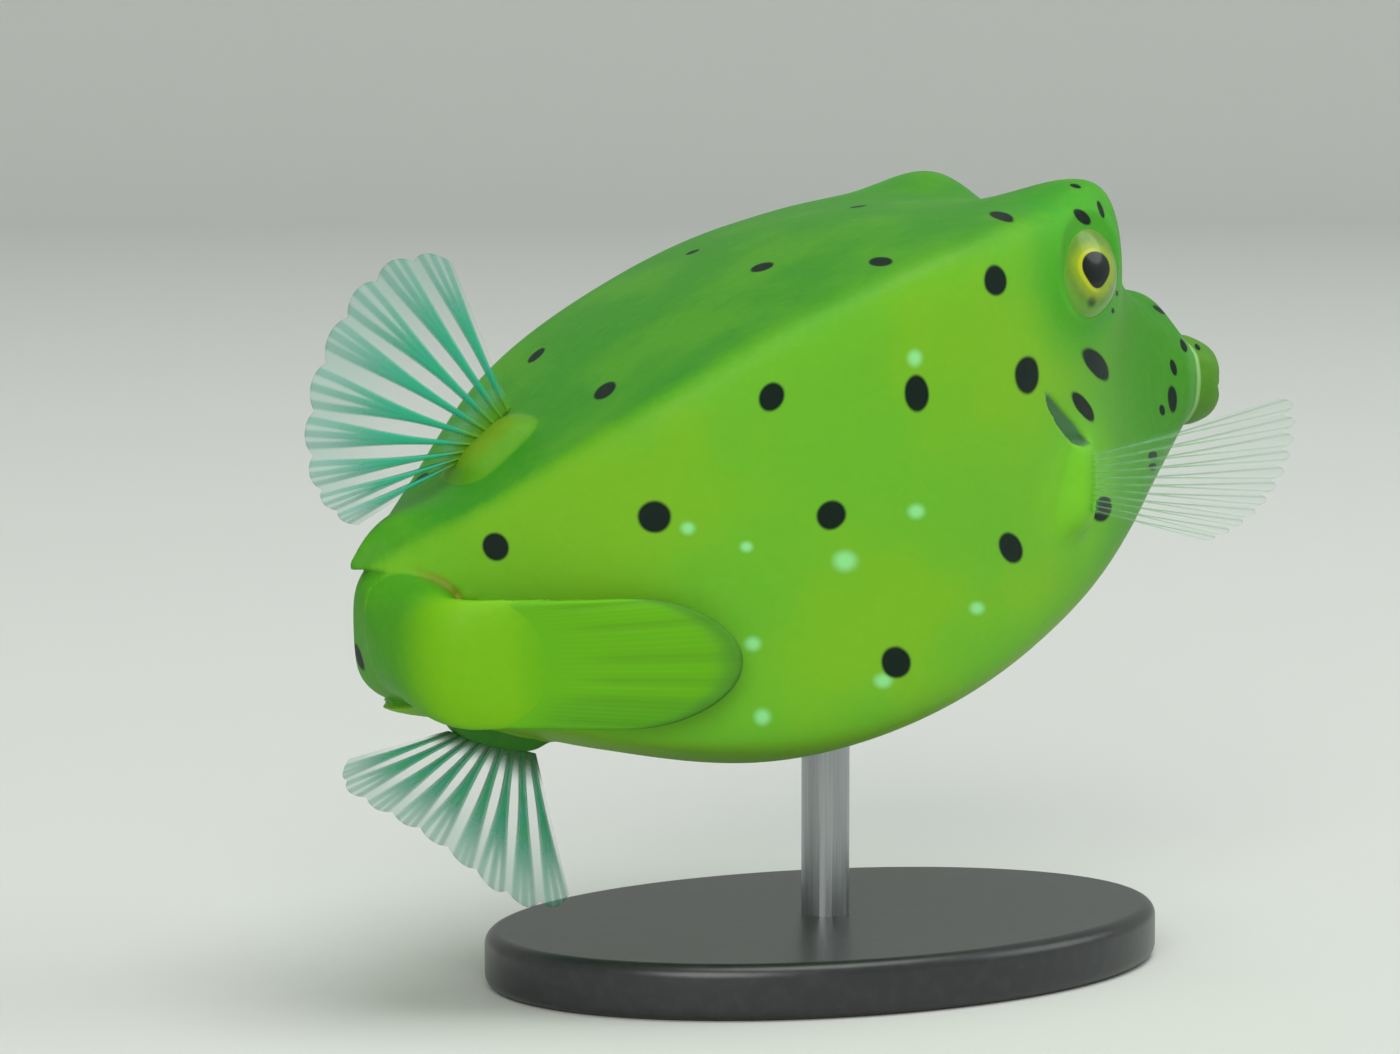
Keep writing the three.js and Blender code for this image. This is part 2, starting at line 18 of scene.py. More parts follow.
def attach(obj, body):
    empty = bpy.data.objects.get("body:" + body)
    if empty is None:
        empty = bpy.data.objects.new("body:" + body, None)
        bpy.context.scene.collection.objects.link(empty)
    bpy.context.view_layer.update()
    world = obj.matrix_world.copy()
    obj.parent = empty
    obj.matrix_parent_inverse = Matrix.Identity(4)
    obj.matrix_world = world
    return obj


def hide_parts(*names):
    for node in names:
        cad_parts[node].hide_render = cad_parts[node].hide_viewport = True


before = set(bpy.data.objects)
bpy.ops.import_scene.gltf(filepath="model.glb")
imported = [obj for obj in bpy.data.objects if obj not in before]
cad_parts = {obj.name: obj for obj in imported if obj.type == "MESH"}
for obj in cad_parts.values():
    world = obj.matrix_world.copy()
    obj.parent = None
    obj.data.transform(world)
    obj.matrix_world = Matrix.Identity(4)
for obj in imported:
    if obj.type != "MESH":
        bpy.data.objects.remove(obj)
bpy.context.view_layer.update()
print("CAD nodes:", ", ".join(sorted(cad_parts)))

# %% [markdown]
# The fish is modelled level, then tipped nose up by about four degrees and lifted onto its rod, just
# as the CAD source does it. Keeping that step as one matrix means that every size below can stay a
# plain millimetre, and the matrix turns it to metres in the part's frame at the end.

# %% From the fish's millimetres to the part's metres
NOSE_UP = math.radians(4.1)
PIVOT = Vector((43, 0, 2))
LIFT = Vector((-4, 0, 42.4))
to_part = (Matrix.Scale(0.001, 4) @ Matrix.Translation(LIFT)
           @ Matrix.Rotation(-NOSE_UP, 4, "Y") @ Matrix.Translation(-PIVOT))
print("lips at", tuple(round(c, 4) for c in to_part @ Vector((89.5, 0, 8))))

# %% [markdown]
# The photograph was taken from behind the fish's right side, from a little above, and quite close.
# The camera was found from the fish's outline: it stands 29 degrees toward the tail, half a metre
# away. The lens is a little wider than the photo's own, so that the stand is in the picture too.

# %% Camera
PHOTO_W, PHOTO_H = 1400, 1054
FOCAL_PX = 5393.2
TURN, RISE, ROLL = (math.radians(a) for a in (28.97, 7.55, 3.62))
OFFSET = Vector((7.98, 1.44, 454.33))      # the fish's centre, seen from the camera

look = Vector((math.sin(TURN) * math.cos(RISE), math.cos(TURN) * math.cos(RISE), -math.sin(RISE)))
right = Vector((math.cos(TURN), -math.sin(TURN), 0))
down = look.cross(right)
right, down = (right * math.cos(ROLL) + down * math.sin(ROLL),
               down * math.cos(ROLL) - right * math.sin(ROLL))
seen_from = PIVOT - right * OFFSET.x - down * OFFSET.y - look * OFFSET.z


def ray_through(px, py):
    """Direction, in the fish's frame, through a pixel of the photograph."""
    return (right * (px - PHOTO_W / 2) + down * (py - PHOTO_H / 2) + look * FOCAL_PX).normalized()


FRAMING = 0.93                              # how much smaller than in the photo the fish is drawn
RAISED_PX = 34                              # and how far it is moved up, for the stand
turned = to_part.to_3x3() * 1000
axes = [(turned @ a).normalized() for a in (right, -down, -look)]
camera_data = bpy.data.cameras.new("camera")
camera_data.lens = 36 * FOCAL_PX * FRAMING / PHOTO_W
camera_data.shift_y = -RAISED_PX / PHOTO_W
camera_data.clip_start = 0.01
camera = bpy.data.objects.new("camera", camera_data)
camera.matrix_world = Matrix.Translation(to_part @ seen_from) @ Matrix(axes).transposed().to_4x4()
bpy.context.scene.collection.objects.link(camera)
bpy.context.scene.camera = camera
print("camera at", tuple(round(c, 3) for c in camera.matrix_world.translation))

# %% [markdown]
# Most pieces of this fish are lofts: the shell, the root of the tail, each fin. One helper makes them
# all. It starts from a flat grid, lets a formula put each point in place, welds the seam and fills
# the two ends. A formula beats drawing rings by hand here, because the same few named sizes that
# shape the CAD solids shape the fine mesh too.

# %% Loft helper
def loft(steps, around, place):
    """A closed bmesh in mm. place(t, u) gives points and a dict of values for the points."""
    bm = bmesh.new()
    bmesh.ops.create_grid(bm, x_segments=steps, y_segments=around, size=1)
    flat = np.array([v.co[:2] for v in bm.verts])
    flat = (flat - flat.min(0)) / (flat.max(0) - flat.min(0))
    points, values = place(flat[:, 0], flat[:, 1])
    for name, value in values.items():
        layer = bm.verts.layers.float.new(name)
        for v, x in zip(bm.verts, value):
            v[layer] = x
    for v, p in zip(bm.verts, points):
        v.co = p
    bmesh.ops.remove_doubles(bm, verts=bm.verts, dist=1e-4)
    bmesh.ops.holes_fill(bm, edges=[e for e in bm.edges if e.is_boundary], sides=0)
    bmesh.ops.recalc_face_normals(bm, faces=bm.faces)
    return bm


def to_object(name, bm, matrix=to_part, smooth=True):
    """A finished piece: its place is in its mesh and its object sits at the origin."""
    mesh = bpy.data.meshes.new(name)
    bmesh.ops.transform(bm, matrix=matrix, verts=bm.verts)
    bm.to_mesh(mesh)
    bm.free()
    for polygon in mesh.polygons:
        polygon.use_smooth = smooth
    obj = bpy.data.objects.new(name, mesh)
    bpy.context.scene.collection.objects.link(obj)
    return obj


def smoothstep(edge0, edge1, x):
    x = np.clip((x - edge0) / (edge1 - edge0), 0, 1)
    return x * x * (3 - 2 * x)


# %% [markdown]
# The shell of a boxfish is a bony box: two ridges above, two below, nearly flat faces between them.
# Eleven cross sections carry it. Each has a crown height, the place of its upper and lower ridge
# and a keel height, and a smooth curve through twenty points rounds its corners. Subdividing a
# cube could do it too, but then the outline could not be matched to the photo section by section.

# %% Cross sections of the shell
# x, crown z, upper ridge z and y, lower ridge z and y, keel z
STATIONS = np.array([
    [-0.9, 2.7, 1.3, 0.5, -7.4, 2.2, -9.3],
    [0, 3.9, 1.9, 1.0, -7.7, 3.1, -9.9],
    [8.6, 7.9, 7.4, 8.3, -11.1, 8.8, -12.7],
    [20.6, 15.8, 15.3, 17.2, -14.6, 15.0, -16.7],
    [36.1, 23.9, 22.1, 21.9, -16.0, 18.5, -20.1],
    [49.9, 28.1, 26.1, 22.6, -13.6, 18.2, -18.7],
    [60.2, 28.3, 27.9, 19.4, -9.6, 16.0, -15.7],
    [68.8, 26.0, 26.7, 13.1, -5.3, 12.8, -11.3],
    [75.7, 20.2, 19.6, 7.0, -1.1, 8.4, -6.9],
    [81.7, 16.7, 14.8, 4.4, 3.9, 4.8, -0.8],
    [85.6, 13.5, 12.1, 3.6, 6.8, 3.2, 4.4],
])
SHELL = 85.6
SIDE_BULGE = 0.6


def station(x):
    """The six sizes of the section at each x, smoothly interpolated."""
    knots, sizes = STATIONS[:, 0], STATIONS[:, 1:]
    h = np.diff(knots)
    slope = np.diff(sizes, axis=0) / h[:, None]
    tangent = np.vstack([slope[:1], (slope[:-1] * h[1:, None] + slope[1:] * h[:-1, None])
                         / (h[:-1] + h[1:])[:, None], slope[-1:]])
    i = np.clip(np.searchsorted(knots, x) - 1, 0, len(h) - 1)
    t = np.clip((x - knots[i]) / h[i], 0, 1)[:, None]
    step = h[i][:, None]
    return ((2 * t**3 - 3 * t**2 + 1) * sizes[i] + (t**3 - 2 * t**2 + t) * step * tangent[i]
            + (3 * t**2 - 2 * t**3) * sizes[i + 1] + (t**3 - t**2) * step * tangent[i + 1])


def section(x, u):
    """Points y, z of the shell at x, u turns around from the right upper ridge over the crown."""
    zc, zr, wr, zv, wv, zk = station(x).T
    across = (0.8, 0.4, 0, -0.4, -0.8)
    side = [(wr + (wv - wr) * t + SIDE_BULGE * 4 * t * (1 - t), zr + (zv - zr) * t)
            for t in (0.15, 0.5, 0.85)]
    ring = [(-wr, zr)] + [(-wr * a, zr + (zc - zr) * (1 - a * a)) for a in across] + [(wr, zr)]
    ring += side + [(wv, zv)] + [(wv * a, zv + (zk - zv) * (1 - a * a)) for a in across]
    ring += [(-wv, zv)] + [(-y, z) for y, z in reversed(side)]
    ring = np.array([[y, z] for y, z in ring])                       # 20, 2, points
    k = np.floor(u * 20).astype(int)
    f = u * 20 - k
    weights = ((1 - f)**3, 3 * f**3 - 6 * f**2 + 4, -3 * f**3 + 3 * f**2 + 3 * f + 1, f**3)
    n = np.arange(len(x))
    return sum(w * ring[(k + i - 1) % 20, :, n].T for i, w in enumerate(weights)) / 6


print("width at x = 45:", round(float(np.ptp(section(np.full(99, 45.0), np.linspace(0, 1, 99))[0])), 1))

# %% [markdown]
# Brows, orbits and the hump above the mouth are swellings: a push in one direction that fades like
# a bell. Fleshy mounds carry the fins, and the lips continue the last section: a groove, then a
# blunt roll that turns in to the slit of the mouth. Pushing points of one grid keeps all of this a
# single skin with no seam, where separate pieces would show their joints.

# %% Swellings, mounds and lips
def unit(*v):
    return np.array(v) / np.linalg.norm(v)


SWELLINGS = {   # centre, push, spread; the first two are mirrored
    "brow": ((68.1, 10.9, 26.9), (0, 0, 2.6), 4.7, True),
    "orbit": ((67.9, 12.8, 22.2), (0.485 * 2.4, 0.84 * 2.4, 0.24 * 2.4), 5.3, True),
    "nose": ((82.9, 0, 16.0), (0.4 * 1.5, 0, 0.9 * 1.5), 2.8, False),
}
EYE = {"at": np.array([64.9, 17.4, 22.8]), "out": unit(0.25, 0.945, 0.21), "r": 4.75, "deep": 2.7,
       "sunk": 1.25, "gaze": unit(-0.02, 0.99, 0.1), "pupil_ahead": 0.8}
DORSAL = {"from": (17.4, 0, 12.5), "to": (10.2, 0, 7.5), "up": (-0.563, 0, 0.827), "half": 4.0,
          "height": 2.8}
ANAL = {"from": (17.0, 0, -15.0), "to": (7.4, 0, -11.3), "up": (-0.34, 0, -0.94), "half": 1.7,
        "height": 2.3}
PECTORAL = {"at": (64.2, 15.5, 3.0), "out": unit(0.52, 0.85, 0.06), "up": unit(0.28, 0, 0.96)}


def mirrored(vector, side):
    return np.array(vector) * (1, side, 1)


def mound_oval(p, centre, along, up, half_length, half_width):
    """How far out on an oval foot each point is (1 at its edge), and its height over the foot."""
    along = along - up * (along @ up)
    along = along / np.linalg.norm(along)
    q = p - centre
    oval = (np.abs(q @ along) / half_length)**4 + np.abs(q @ np.cross(up, along) / half_width)**3
    return oval, q @ up


def mound(p, centre, along, up, half_length, half_width, height, foot=0.3):
    """Lifts the points under a blunt oval mound to its surface, with a soft foot."""
    oval, h = mound_oval(p, centre, along, up, half_length, half_width)
    target = height * np.sign(1 - oval) * np.abs(1 - oval)**0.7
    near = (oval < 3) & (h > -3 * height)
    lifted = (h + target + np.sqrt((h - target)**2 + foot**2)) / 2 - foot / 6
    return p + np.where(near & (lifted > h), lifted - h, 0)[:, None] * up


def lobe_frame(lobe):
    a, b, up = (np.array(lobe[k], float) for k in ("from", "to", "up"))
    return ((a + b) / 2, b - a, up / np.linalg.norm(up), np.linalg.norm(b - a) / 2 + 0.3,
            lobe["half"] + 0.3)


MOUTH_Z = 8.2
LIP_X = np.array([0, 0.3, 0.65, 1.4, 2.4, 3.3, 3.95, 4.35, 4.2, 3.3, 1.6])
UPPER_LIP = np.array([1, 0.84, 0.89, 0.88, 0.8, 0.71, 0.61, 0.43, 0.22, 0.1, 0.05])
LOWER_LIP = np.array([1, 0.86, 0.93, 0.95, 0.9, 0.82, 0.7, 0.48, 0.24, 0.12, 0.06])
LIP_WIDE = np.array([1, 0.82, 0.9, 0.97, 0.97, 0.94, 0.88, 0.82, 0.78, 0.76, 0.72])


def features(p):
    """Pushes points of the plain shell out where the real one swells."""
    base = p.copy()
    for centre, push, spread, twin in SWELLINGS.values():
        for side in (-1, 1) if twin else (1,):
            reach = np.linalg.norm(base - mirrored(centre, side), axis=1) / spread
            p = p + np.exp(-0.5 * reach**2)[:, None] * mirrored(push, side)
    for lobe in (DORSAL, ANAL):
        p = mound(p, *lobe_frame(lobe), lobe["height"])
    for side in (-1, 1):
        p = mound(p, mirrored(PECTORAL["at"], side), mirrored(PECTORAL["up"], side),
                  mirrored(PECTORAL["out"], side), 4.3, 2.2, 1.3, 1.4)
        out = mirrored(EYE["out"], side)
        q = p - mirrored(EYE["at"], side)
        r = np.linalg.norm(q - np.outer(q @ out, out), axis=1)
        rim = 0.45 * np.exp(-((r - EYE["r"] - 0.1) / 0.8)**2) - 0.5 * np.exp(-(r / 3.2)**4)
        p = p + (rim * (np.abs(q @ out) < 5))[:, None] * out
    return p


RINGS, LIP_RINGS, AROUND = 190, 22, 320


def shell_place(t, u):
    split = RINGS / (RINGS + LIP_RINGS)
    # rings stand closer together toward the face, and points keep an even spacing round the box
    s = np.clip(t / split, 0, 1)
    x = -0.9 + (SHELL + 0.9) * (1 - (1 - s)**1.15)
    turn = np.interp(u, [0, 0.26, 0.52, 0.74, 1], [0, 0.3, 0.5, 0.8, 1]) % 1
    y, z = section(x, turn)
    p = features(np.stack([x, y, z], 1))
    lip = np.clip((t - split) / (1 - split), 0, 1) * (len(LIP_X) - 1)
    knots = np.arange(len(LIP_X))
    k = np.where(z > MOUTH_Z, np.interp(lip, knots, UPPER_LIP), np.interp(lip, knots, LOWER_LIP))
    bow = 0.9 * (p[:, 1] / 3.6)**2 * np.clip(lip / 3, 0, 1)
    p[:, 2] = MOUTH_Z + (p[:, 2] - MOUTH_Z) * k
    p[:, 1] *= np.interp(lip, knots, LIP_WIDE)
    p[:, 0] += np.interp(lip, knots, LIP_X) - bow
    return p, {"turn": turn, "along": t}


shell = loft(RINGS + LIP_RINGS, AROUND, shell_place)
shell_points = np.array([v.co for v in shell.verts])
shell_turn = np.array([v[shell.verts.layers.float["turn"]] for v in shell.verts])
print("shell:", len(shell.faces), "faces, x", shell_points[:, 0].min(), "to", shell_points[:, 0].max())

# %% [markdown]
# The shell is open behind, where the tail comes out, and the flesh of the tail fills that opening a
# little below the shell's edge. The tail is bent round to the right and thins out into its fin.
# Cutting the opening with a prism and joining the tail by a Boolean gives one closed skin with a
# real edge that casts a shadow. A round pad of flesh closes the small gap beside the bend.

# %% Opening of the shell and the root of the tail
OPENING = {"x": 0, "z": -4.3, "rx": 8.3, "rz": 6.3}
OPENING_CORNER_SEEN = (449, 636)           # where a pad of flesh closes the gap beside the bend
PAD_MM = 1.6
# axis x, y, z, half width, half height, and how boxy the section is (1 is an oval, less is boxier)
TAIL_ROOT = np.array([
    [11, 0.8, -4.3, 9.4, 6.6, 0.6],
    [7.8, 0.2, -4.3, 8.6, 6.4, 0.6],
    [5.5, -0.7, -3.8, 7.4, 6.8, 0.75],
    [4.4, -2.3, -3.4, 6.2, 6.8, 0.85],
    [3.6, -4.3, -4.1, 4.9, 5.5, 0.9],
    [3.0, -6.4, -4.7, 4.0, 5.5, 1.0],
    [2.8, -8.8, -5.3, 3.0, 5.5, 0.9],
    [3.5, -10.9, -5.6, 1.9, 5.65, 0.8],
    [5.1, -12.3, -5.75, 1.1, 5.65, 0.75],
    [7.8, -13.6, -5.85, 0.66, 5.6, 0.7],
    [11.0, -14.95, -6.0, 0.48, 5.5, 0.7],
    [14.4, -16.35, -6.2, 0.34, 5.4, 0.7],
])


def smooth_rows(rows, t):
    """A smooth curve through the rows, read at t from 0 to 1."""
    n = len(rows) - 1
    padded = np.vstack([2 * rows[:1] - rows[1:2], rows, 2 * rows[-1:] - rows[-2:-1]])
    k = np.clip(np.floor(t * n).astype(int), 0, n - 1)
    f = (t * n - k)[:, None]
    a, b, c, d = (padded[k + i] for i in range(4))
    return 0.5 * (2 * b + (c - a) * f + (2 * a - 5 * b + 4 * c - d) * f**2
                  + (3 * b - a - 3 * c + d) * f**3)


def under_shell(p, amount):
    """Pulls points of the flesh back to just under the plain shell, as far as amount says."""
    for i in np.flatnonzero(amount > 0):
        middle = Vector((max(p[i, 0], -0.4), 0, OPENING["z"]))
        out = Vector((0, *p[i, 1:])) - Vector((0, *middle[1:]))
        reach = shell_tree.ray_cast(middle, out)[3] or 0.5
        deep = np.interp(p[i, 0], (4, 7), (0.3, 0.05))
        held = middle + out * min(1, (reach - deep) / out.length)
        p[i] += amount[i] * (np.array(held) - p[i])


def tail_place(t, u):
    row = smooth_rows(TAIL_ROOT, t)
    step = smooth_rows(TAIL_ROOT, np.clip(t + 0.01, 0, 1)) - smooth_rows(TAIL_ROOT, np.clip(t - 0.01, 0, 1))
    across = np.stack([-step[:, 1], step[:, 0], 0 * t], 1)
    across /= np.linalg.norm(across, axis=1)[:, None]
    a = 2 * np.pi * u
    blunt = [np.sign(c) * np.abs(c)**row[:, 5] for c in (np.cos(a), np.sin(a))]
    p = row[:, :3] + across * (row[:, 3] * blunt[0])[:, None]
    p[:, 2] += row[:, 4] * blunt[1]
    under_shell(p, smoothstep(0.39, 0.25, t))
    return p, {}


def opening_prism():
    bm = bmesh.new()
    bmesh.ops.create_circle(bm, cap_ends=True, segments=128, radius=1)
    for v in bm.verts:
        x, z = v.co.x, v.co.y
        v.co = (OPENING["x"] + (x * OPENING["rx"] if x > 0 else -30 * min(1, -x * 3)),
                -40, OPENING["z"] + (z * OPENING["rz"] if x > 0 else math.copysign(OPENING["rz"], z)
                                     if abs(z) > 0.02 else 0))
    bmesh.ops.remove_doubles(bm, verts=bm.verts, dist=1e-4)
    made = bmesh.ops.extrude_face_region(bm, geom=bm.faces[:])
    moved = [g for g in made["geom"] if isinstance(g, bmesh.types.BMVert)]
    bmesh.ops.translate(bm, verts=moved, vec=(0, 80, 0))
    bmesh.ops.recalc_face_normals(bm, faces=bm.faces)
    return bm


def applied(obj, kind, **settings):
    """Adds a modifier, applies it and leaves its result in the object."""
    modifier = obj.modifiers.new(kind.lower(), kind)
    for key, value in settings.items():
        setattr(modifier, key, value)
    bpy.context.view_layer.update()
    mesh = bpy.data.meshes.new_from_object(obj.evaluated_get(bpy.context.evaluated_depsgraph_get()))
    obj.modifiers.clear()
    obj.data = mesh


def combine(obj, other, operation):
    applied(obj, "BOOLEAN", object=other, operation=operation, solver="EXACT")
    bpy.data.objects.remove(other)


level = Matrix.Identity(4)
shell_tree = BVHTree.FromBMesh(shell)
skin = to_object("boxfish_skin", shell, level)
TAIL_RINGS, TAIL_AROUND, TAIL_SMOOTHING = 80, 96, 16
tail = loft(TAIL_RINGS, TAIL_AROUND, tail_place)
for _ in range(TAIL_SMOOTHING):
    bmesh.ops.smooth_vert(tail, verts=tail.verts, factor=0.5, use_axis_x=True, use_axis_y=True,
                          use_axis_z=True)
tail_tree = BVHTree.FromBMesh(tail)
combine(skin, to_object("opening", opening_prism(), level), "DIFFERENCE")
combine(skin, to_object("tail_root", tail, level), "UNION")
corner, corner_out = shell_tree.ray_cast(seen_from, ray_through(*OPENING_CORNER_SEEN))[:2]
pad = bmesh.new()
bmesh.ops.create_icosphere(pad, subdivisions=4, radius=PAD_MM)
bmesh.ops.translate(pad, vec=corner - corner_out * (PAD_MM - 0.05), verts=pad.verts)
combine(skin, to_object("pad_in_the_corner", pad, level), "UNION")
print("shell and tail joined:", len(skin.data.polygons), "faces")

# %% [markdown]
# The gill opening of a boxfish is a short slit in the bone, a wedge that widens downward. Its corners
# are read off the photo: a ray from the camera through each one meets the shell. The wedge is then
# extruded inward and cut out. Its floor rises toward the face, so that the rear edge throws the shadow.

# %% Gill slits
GILL_SEEN = [(1070, 417), (1076, 436), (1084, 452), (1094, 465), (1105, 475), (1114, 477), (1121, 474),
             (1105, 455), (1090, 438), (1078, 424)]
GILL_DEEP = [0.4, 1.0, 1.3, 1.4, 1.3, 1.0, 0.7, 0.45, 0.4, 0.35]
gill_corners = np.array([shell_tree.ray_cast(seen_from, ray_through(*px))[0] for px in GILL_SEEN])
gill_middle = gill_corners.mean(0)
gill_out = np.array(shell_tree.find_nearest(Vector(gill_middle))[1])
gill_along = unit(*(gill_corners[5] - gill_corners[0]))
gill_across = unit(*np.cross(gill_out, gill_along))


def gill_wedge(side):
    bm = bmesh.new()
    rim = [bm.verts.new(mirrored(c + gill_out * 1.5, -side)) for c in gill_corners]
    made = bmesh.ops.extrude_face_region(bm, geom=[bm.faces.new(rim)])
    for v in (g for g in made["geom"] if isinstance(g, bmesh.types.BMVert)):
        i = min(range(len(rim)), key=lambda k: (rim[k].co - v.co).length)
        v.co = mirrored(gill_corners[i] - gill_out * GILL_DEEP[i], -side)
    bmesh.ops.recalc_face_normals(bm, faces=bm.faces)
    return bm


for side in (-1, 1):
    combine(skin, to_object("gill_wedge", gill_wedge(side), level), "DIFFERENCE")
print("gill slit", round(float(np.linalg.norm(gill_corners[5] - gill_corners[0])), 1), "mm long")

# %% [markdown]
# Booleans leave slivers and knife edges that no bone has. A voxel remesh rebuilds the skin as even
# small squares, which rounds every edge by a quarter of a millimetre, and three rounds of smoothing
# calm it. Decimating then spends the faces where the form bends. Bevelling the cut edges would be
# another way, but it fails where the slivers are.

# %% One even skin
VOXEL_MM = 0.25
SKIN_TRIANGLES = 185000
applied(skin, "REMESH", mode="VOXEL", voxel_size=VOXEL_MM)
applied(skin, "SMOOTH", factor=0.5, iterations=3)
triangles = sum(len(p.vertices) - 2 for p in skin.data.polygons)
applied(skin, "DECIMATE", ratio=min(1, SKIN_TRIANGLES / triangles))
for polygon in skin.data.polygons:
    polygon.use_smooth = True
print("skin:", triangles, "triangles before,", len(skin.data.polygons), "after")

# %% [markdown]
# The spots are painted where the photo shows them. Each one is a named oval: a ray from the camera
# through it meets the skin, and the oval is laid back onto the skin there, so that a spot looks round
# again from its own side. Each corner of a face then keeps where it lies in the oval nearest to that
# face. Between the corners this changes evenly, so the material finds a round edge at any zoom; a
# mask of ones and zeros on the points would show their triangles instead. The far side gets the same
# spots mirrored, each moved a little, because no two sides of a fish match.

# %% Spots
BLACK_SEEN = [  # x, y, half length, half width in pixels of the photo, lean in degrees
    (480, 585, 15, 14, 64), (651, 553, 18, 17, 161), (841, 551, 17, 15, 139), (777, 424, 16, 13, 117),
    (933, 420, 19.5, 13, 87), (1052, 400, 20, 13, 92), (1018, 299, 16.5, 12, 84),
    (1034, 586, 17, 12, 67), (911, 709, 17, 16, 74), (1127, 389, 20, 9.5, 55),
    (1112, 434, 19, 7, 55), (1133, 544, 14, 10, 109), (1187, 487, 5, 5, 0), (1187, 499, 4.5, 4, 0),
    (1208, 426, 14.5, 5, 86), (1197, 438, 6, 3, 80), (1209, 392, 9, 3.2, 75), (1220, 368, 7.5, 3, 67),
    (1235, 370, 4, 2.2, 50), (1194, 330, 8, 3.2, 35), (1148, 312, 3, 2.4, 70),
    (1144, 331, 3, 2, 80), (1111, 230, 11.5, 6, 35), (1131, 222, 10, 3.2, 73),
    (1104, 197, 6, 2.5, 15), (1024, 229, 13, 6, 15), (894, 278, 12.5, 5.2, 178),
    (870, 219, 9, 3.1, 173), (767, 284, 13, 5.2, 164), (692, 268, 8, 3, 160), (598, 417, 14, 7, 144),
    (524, 379, 11.5, 4.5, 139), (400, 512, 9.5, 4.2, 143), (333, 703, 15, 4, 73)]
PALE_SEEN = [
    (931, 382, 9, 8, 90), (933, 547, 9, 8, 0), (856, 600, 13, 11, 0), (757, 689, 9, 8, 0),
    (767, 768, 9, 9, 0), (897, 729, 10, 8, 0), (998, 651, 8, 7, 0), (687, 565, 8, 7, 0),
    (750, 585, 7, 6, 0)]
chance = random.Random(7)
tree = BVHTree.FromPolygons([v.co for v in skin.data.vertices],
                            [p.vertices for p in skin.data.polygons])


def laid_back(seen):
    """Centre, normal and two half axes in mm of each spot, on both sides of the fish."""
    spots = []
    for px, py, long, short, lean in seen:
        ray = ray_through(px, py)
        hit, normal, _, distance = tree.ray_cast(seen_from, ray)
        if hit is None:
            print("no skin behind", px, py)
            continue
        halves = []
        most = 0 if px > 1090 and py < 240 else 2.5      # the brow curves too much to lay a spot flat
        for size, angle in ((long, math.radians(lean)), (short, math.radians(lean + 90))):
            flat = (right * math.cos(angle) + down * math.sin(angle)) * size * distance / FOCAL_PX
            lay = -flat.dot(normal) / ray.dot(normal)
            halves.append(flat + ray * max(-most * flat.length, min(most * flat.length, lay)))
        spots.append([np.array(v) for v in (hit, normal, *halves)])
        if hit.y < -5 and hit.x > 4 and normal.z < 0.6:
            twin = [mirrored(v, -1) for v in spots[-1]]
            twin[2] *= min(1, 1.5 * np.linalg.norm(twin[3]) / np.linalg.norm(twin[2]))
            twin[3] *= min(1, 1.5 * np.linalg.norm(twin[2]) / np.linalg.norm(twin[3]))
            moved = Vector(twin[0] + [chance.uniform(-1.5, 1.5), 0, chance.uniform(-1.5, 1.5)])
            twin[0] = np.array(tree.find_nearest(moved)[0])
            spots.append(twin)
    return spots


black, pale = laid_back(BLACK_SEEN), laid_back(PALE_SEEN)
for x, y, r in ((30, 9, 1.4), (38, -8, 1.5), (46, 4, 1.3), (55, -6, 1.4), (62, 5, 1.2), (22, -3, 1.2),
                (52, 12, 1.2), (70, -2, 1.0)):
    at, normal = tree.find_nearest(Vector((x, y, -30)))[:2]
    black.append([np.array(v) for v in (at, normal, Vector((r, 0, 0)), Vector((0, r, 0)))])
points = np.array([v.co for v in skin.data.vertices])
corner_point = np.array([loop.vertex_index for loop in skin.data.loops])
first_corner = np.array([p.loop_start for p in skin.data.polygons])
corner_count = np.array([p.loop_total for p in skin.data.polygons])


def nearest_spot(spots):
    """Where each face corner of the skin lies in that face's nearest oval; 1 is the oval's edge."""
    corners = points[corner_point]
    best = np.full(len(first_corner), 9.0)
    place = np.full((len(corners), 3), 9.0)
    for centre, normal, half_a, half_b in spots:
        q = corners - centre
        inside = q @ np.linalg.pinv(np.array([half_a, half_b]))
        gap = (np.linalg.norm(inside, axis=1) - 1) * np.linalg.norm(half_b)
        gap = np.minimum.reduceat(np.where(np.abs(q @ normal) < 4, gap, 9.0), first_corner)
        best, closer = np.minimum(best, gap), np.repeat(gap < best, corner_count)
        place[closer] = np.pad(inside, ((0, 0), (0, 1)))[closer]
    return place


print(len(black), "black and", len(pale), "pale spots")

# %% [markdown]
# Colour follows form: the back between the upper ridges, the belly, the flesh of the tail, the seam
# where the shell overlaps it, the fleshy mounds and the floor of the gill slit. Each of these is also
# kept on the points as a value, found from the shell and the tail before they were joined.

# %% Regions of the skin
def store(mesh, name, values):
    values = np.asarray(values, np.float32)
    if values.ndim == 2:
        mesh.attributes.new(name, "FLOAT_VECTOR", "CORNER").data.foreach_set("vector", values.ravel())
    else:
        mesh.attributes.new(name, "FLOAT", "POINT").data.foreach_set("value", values)


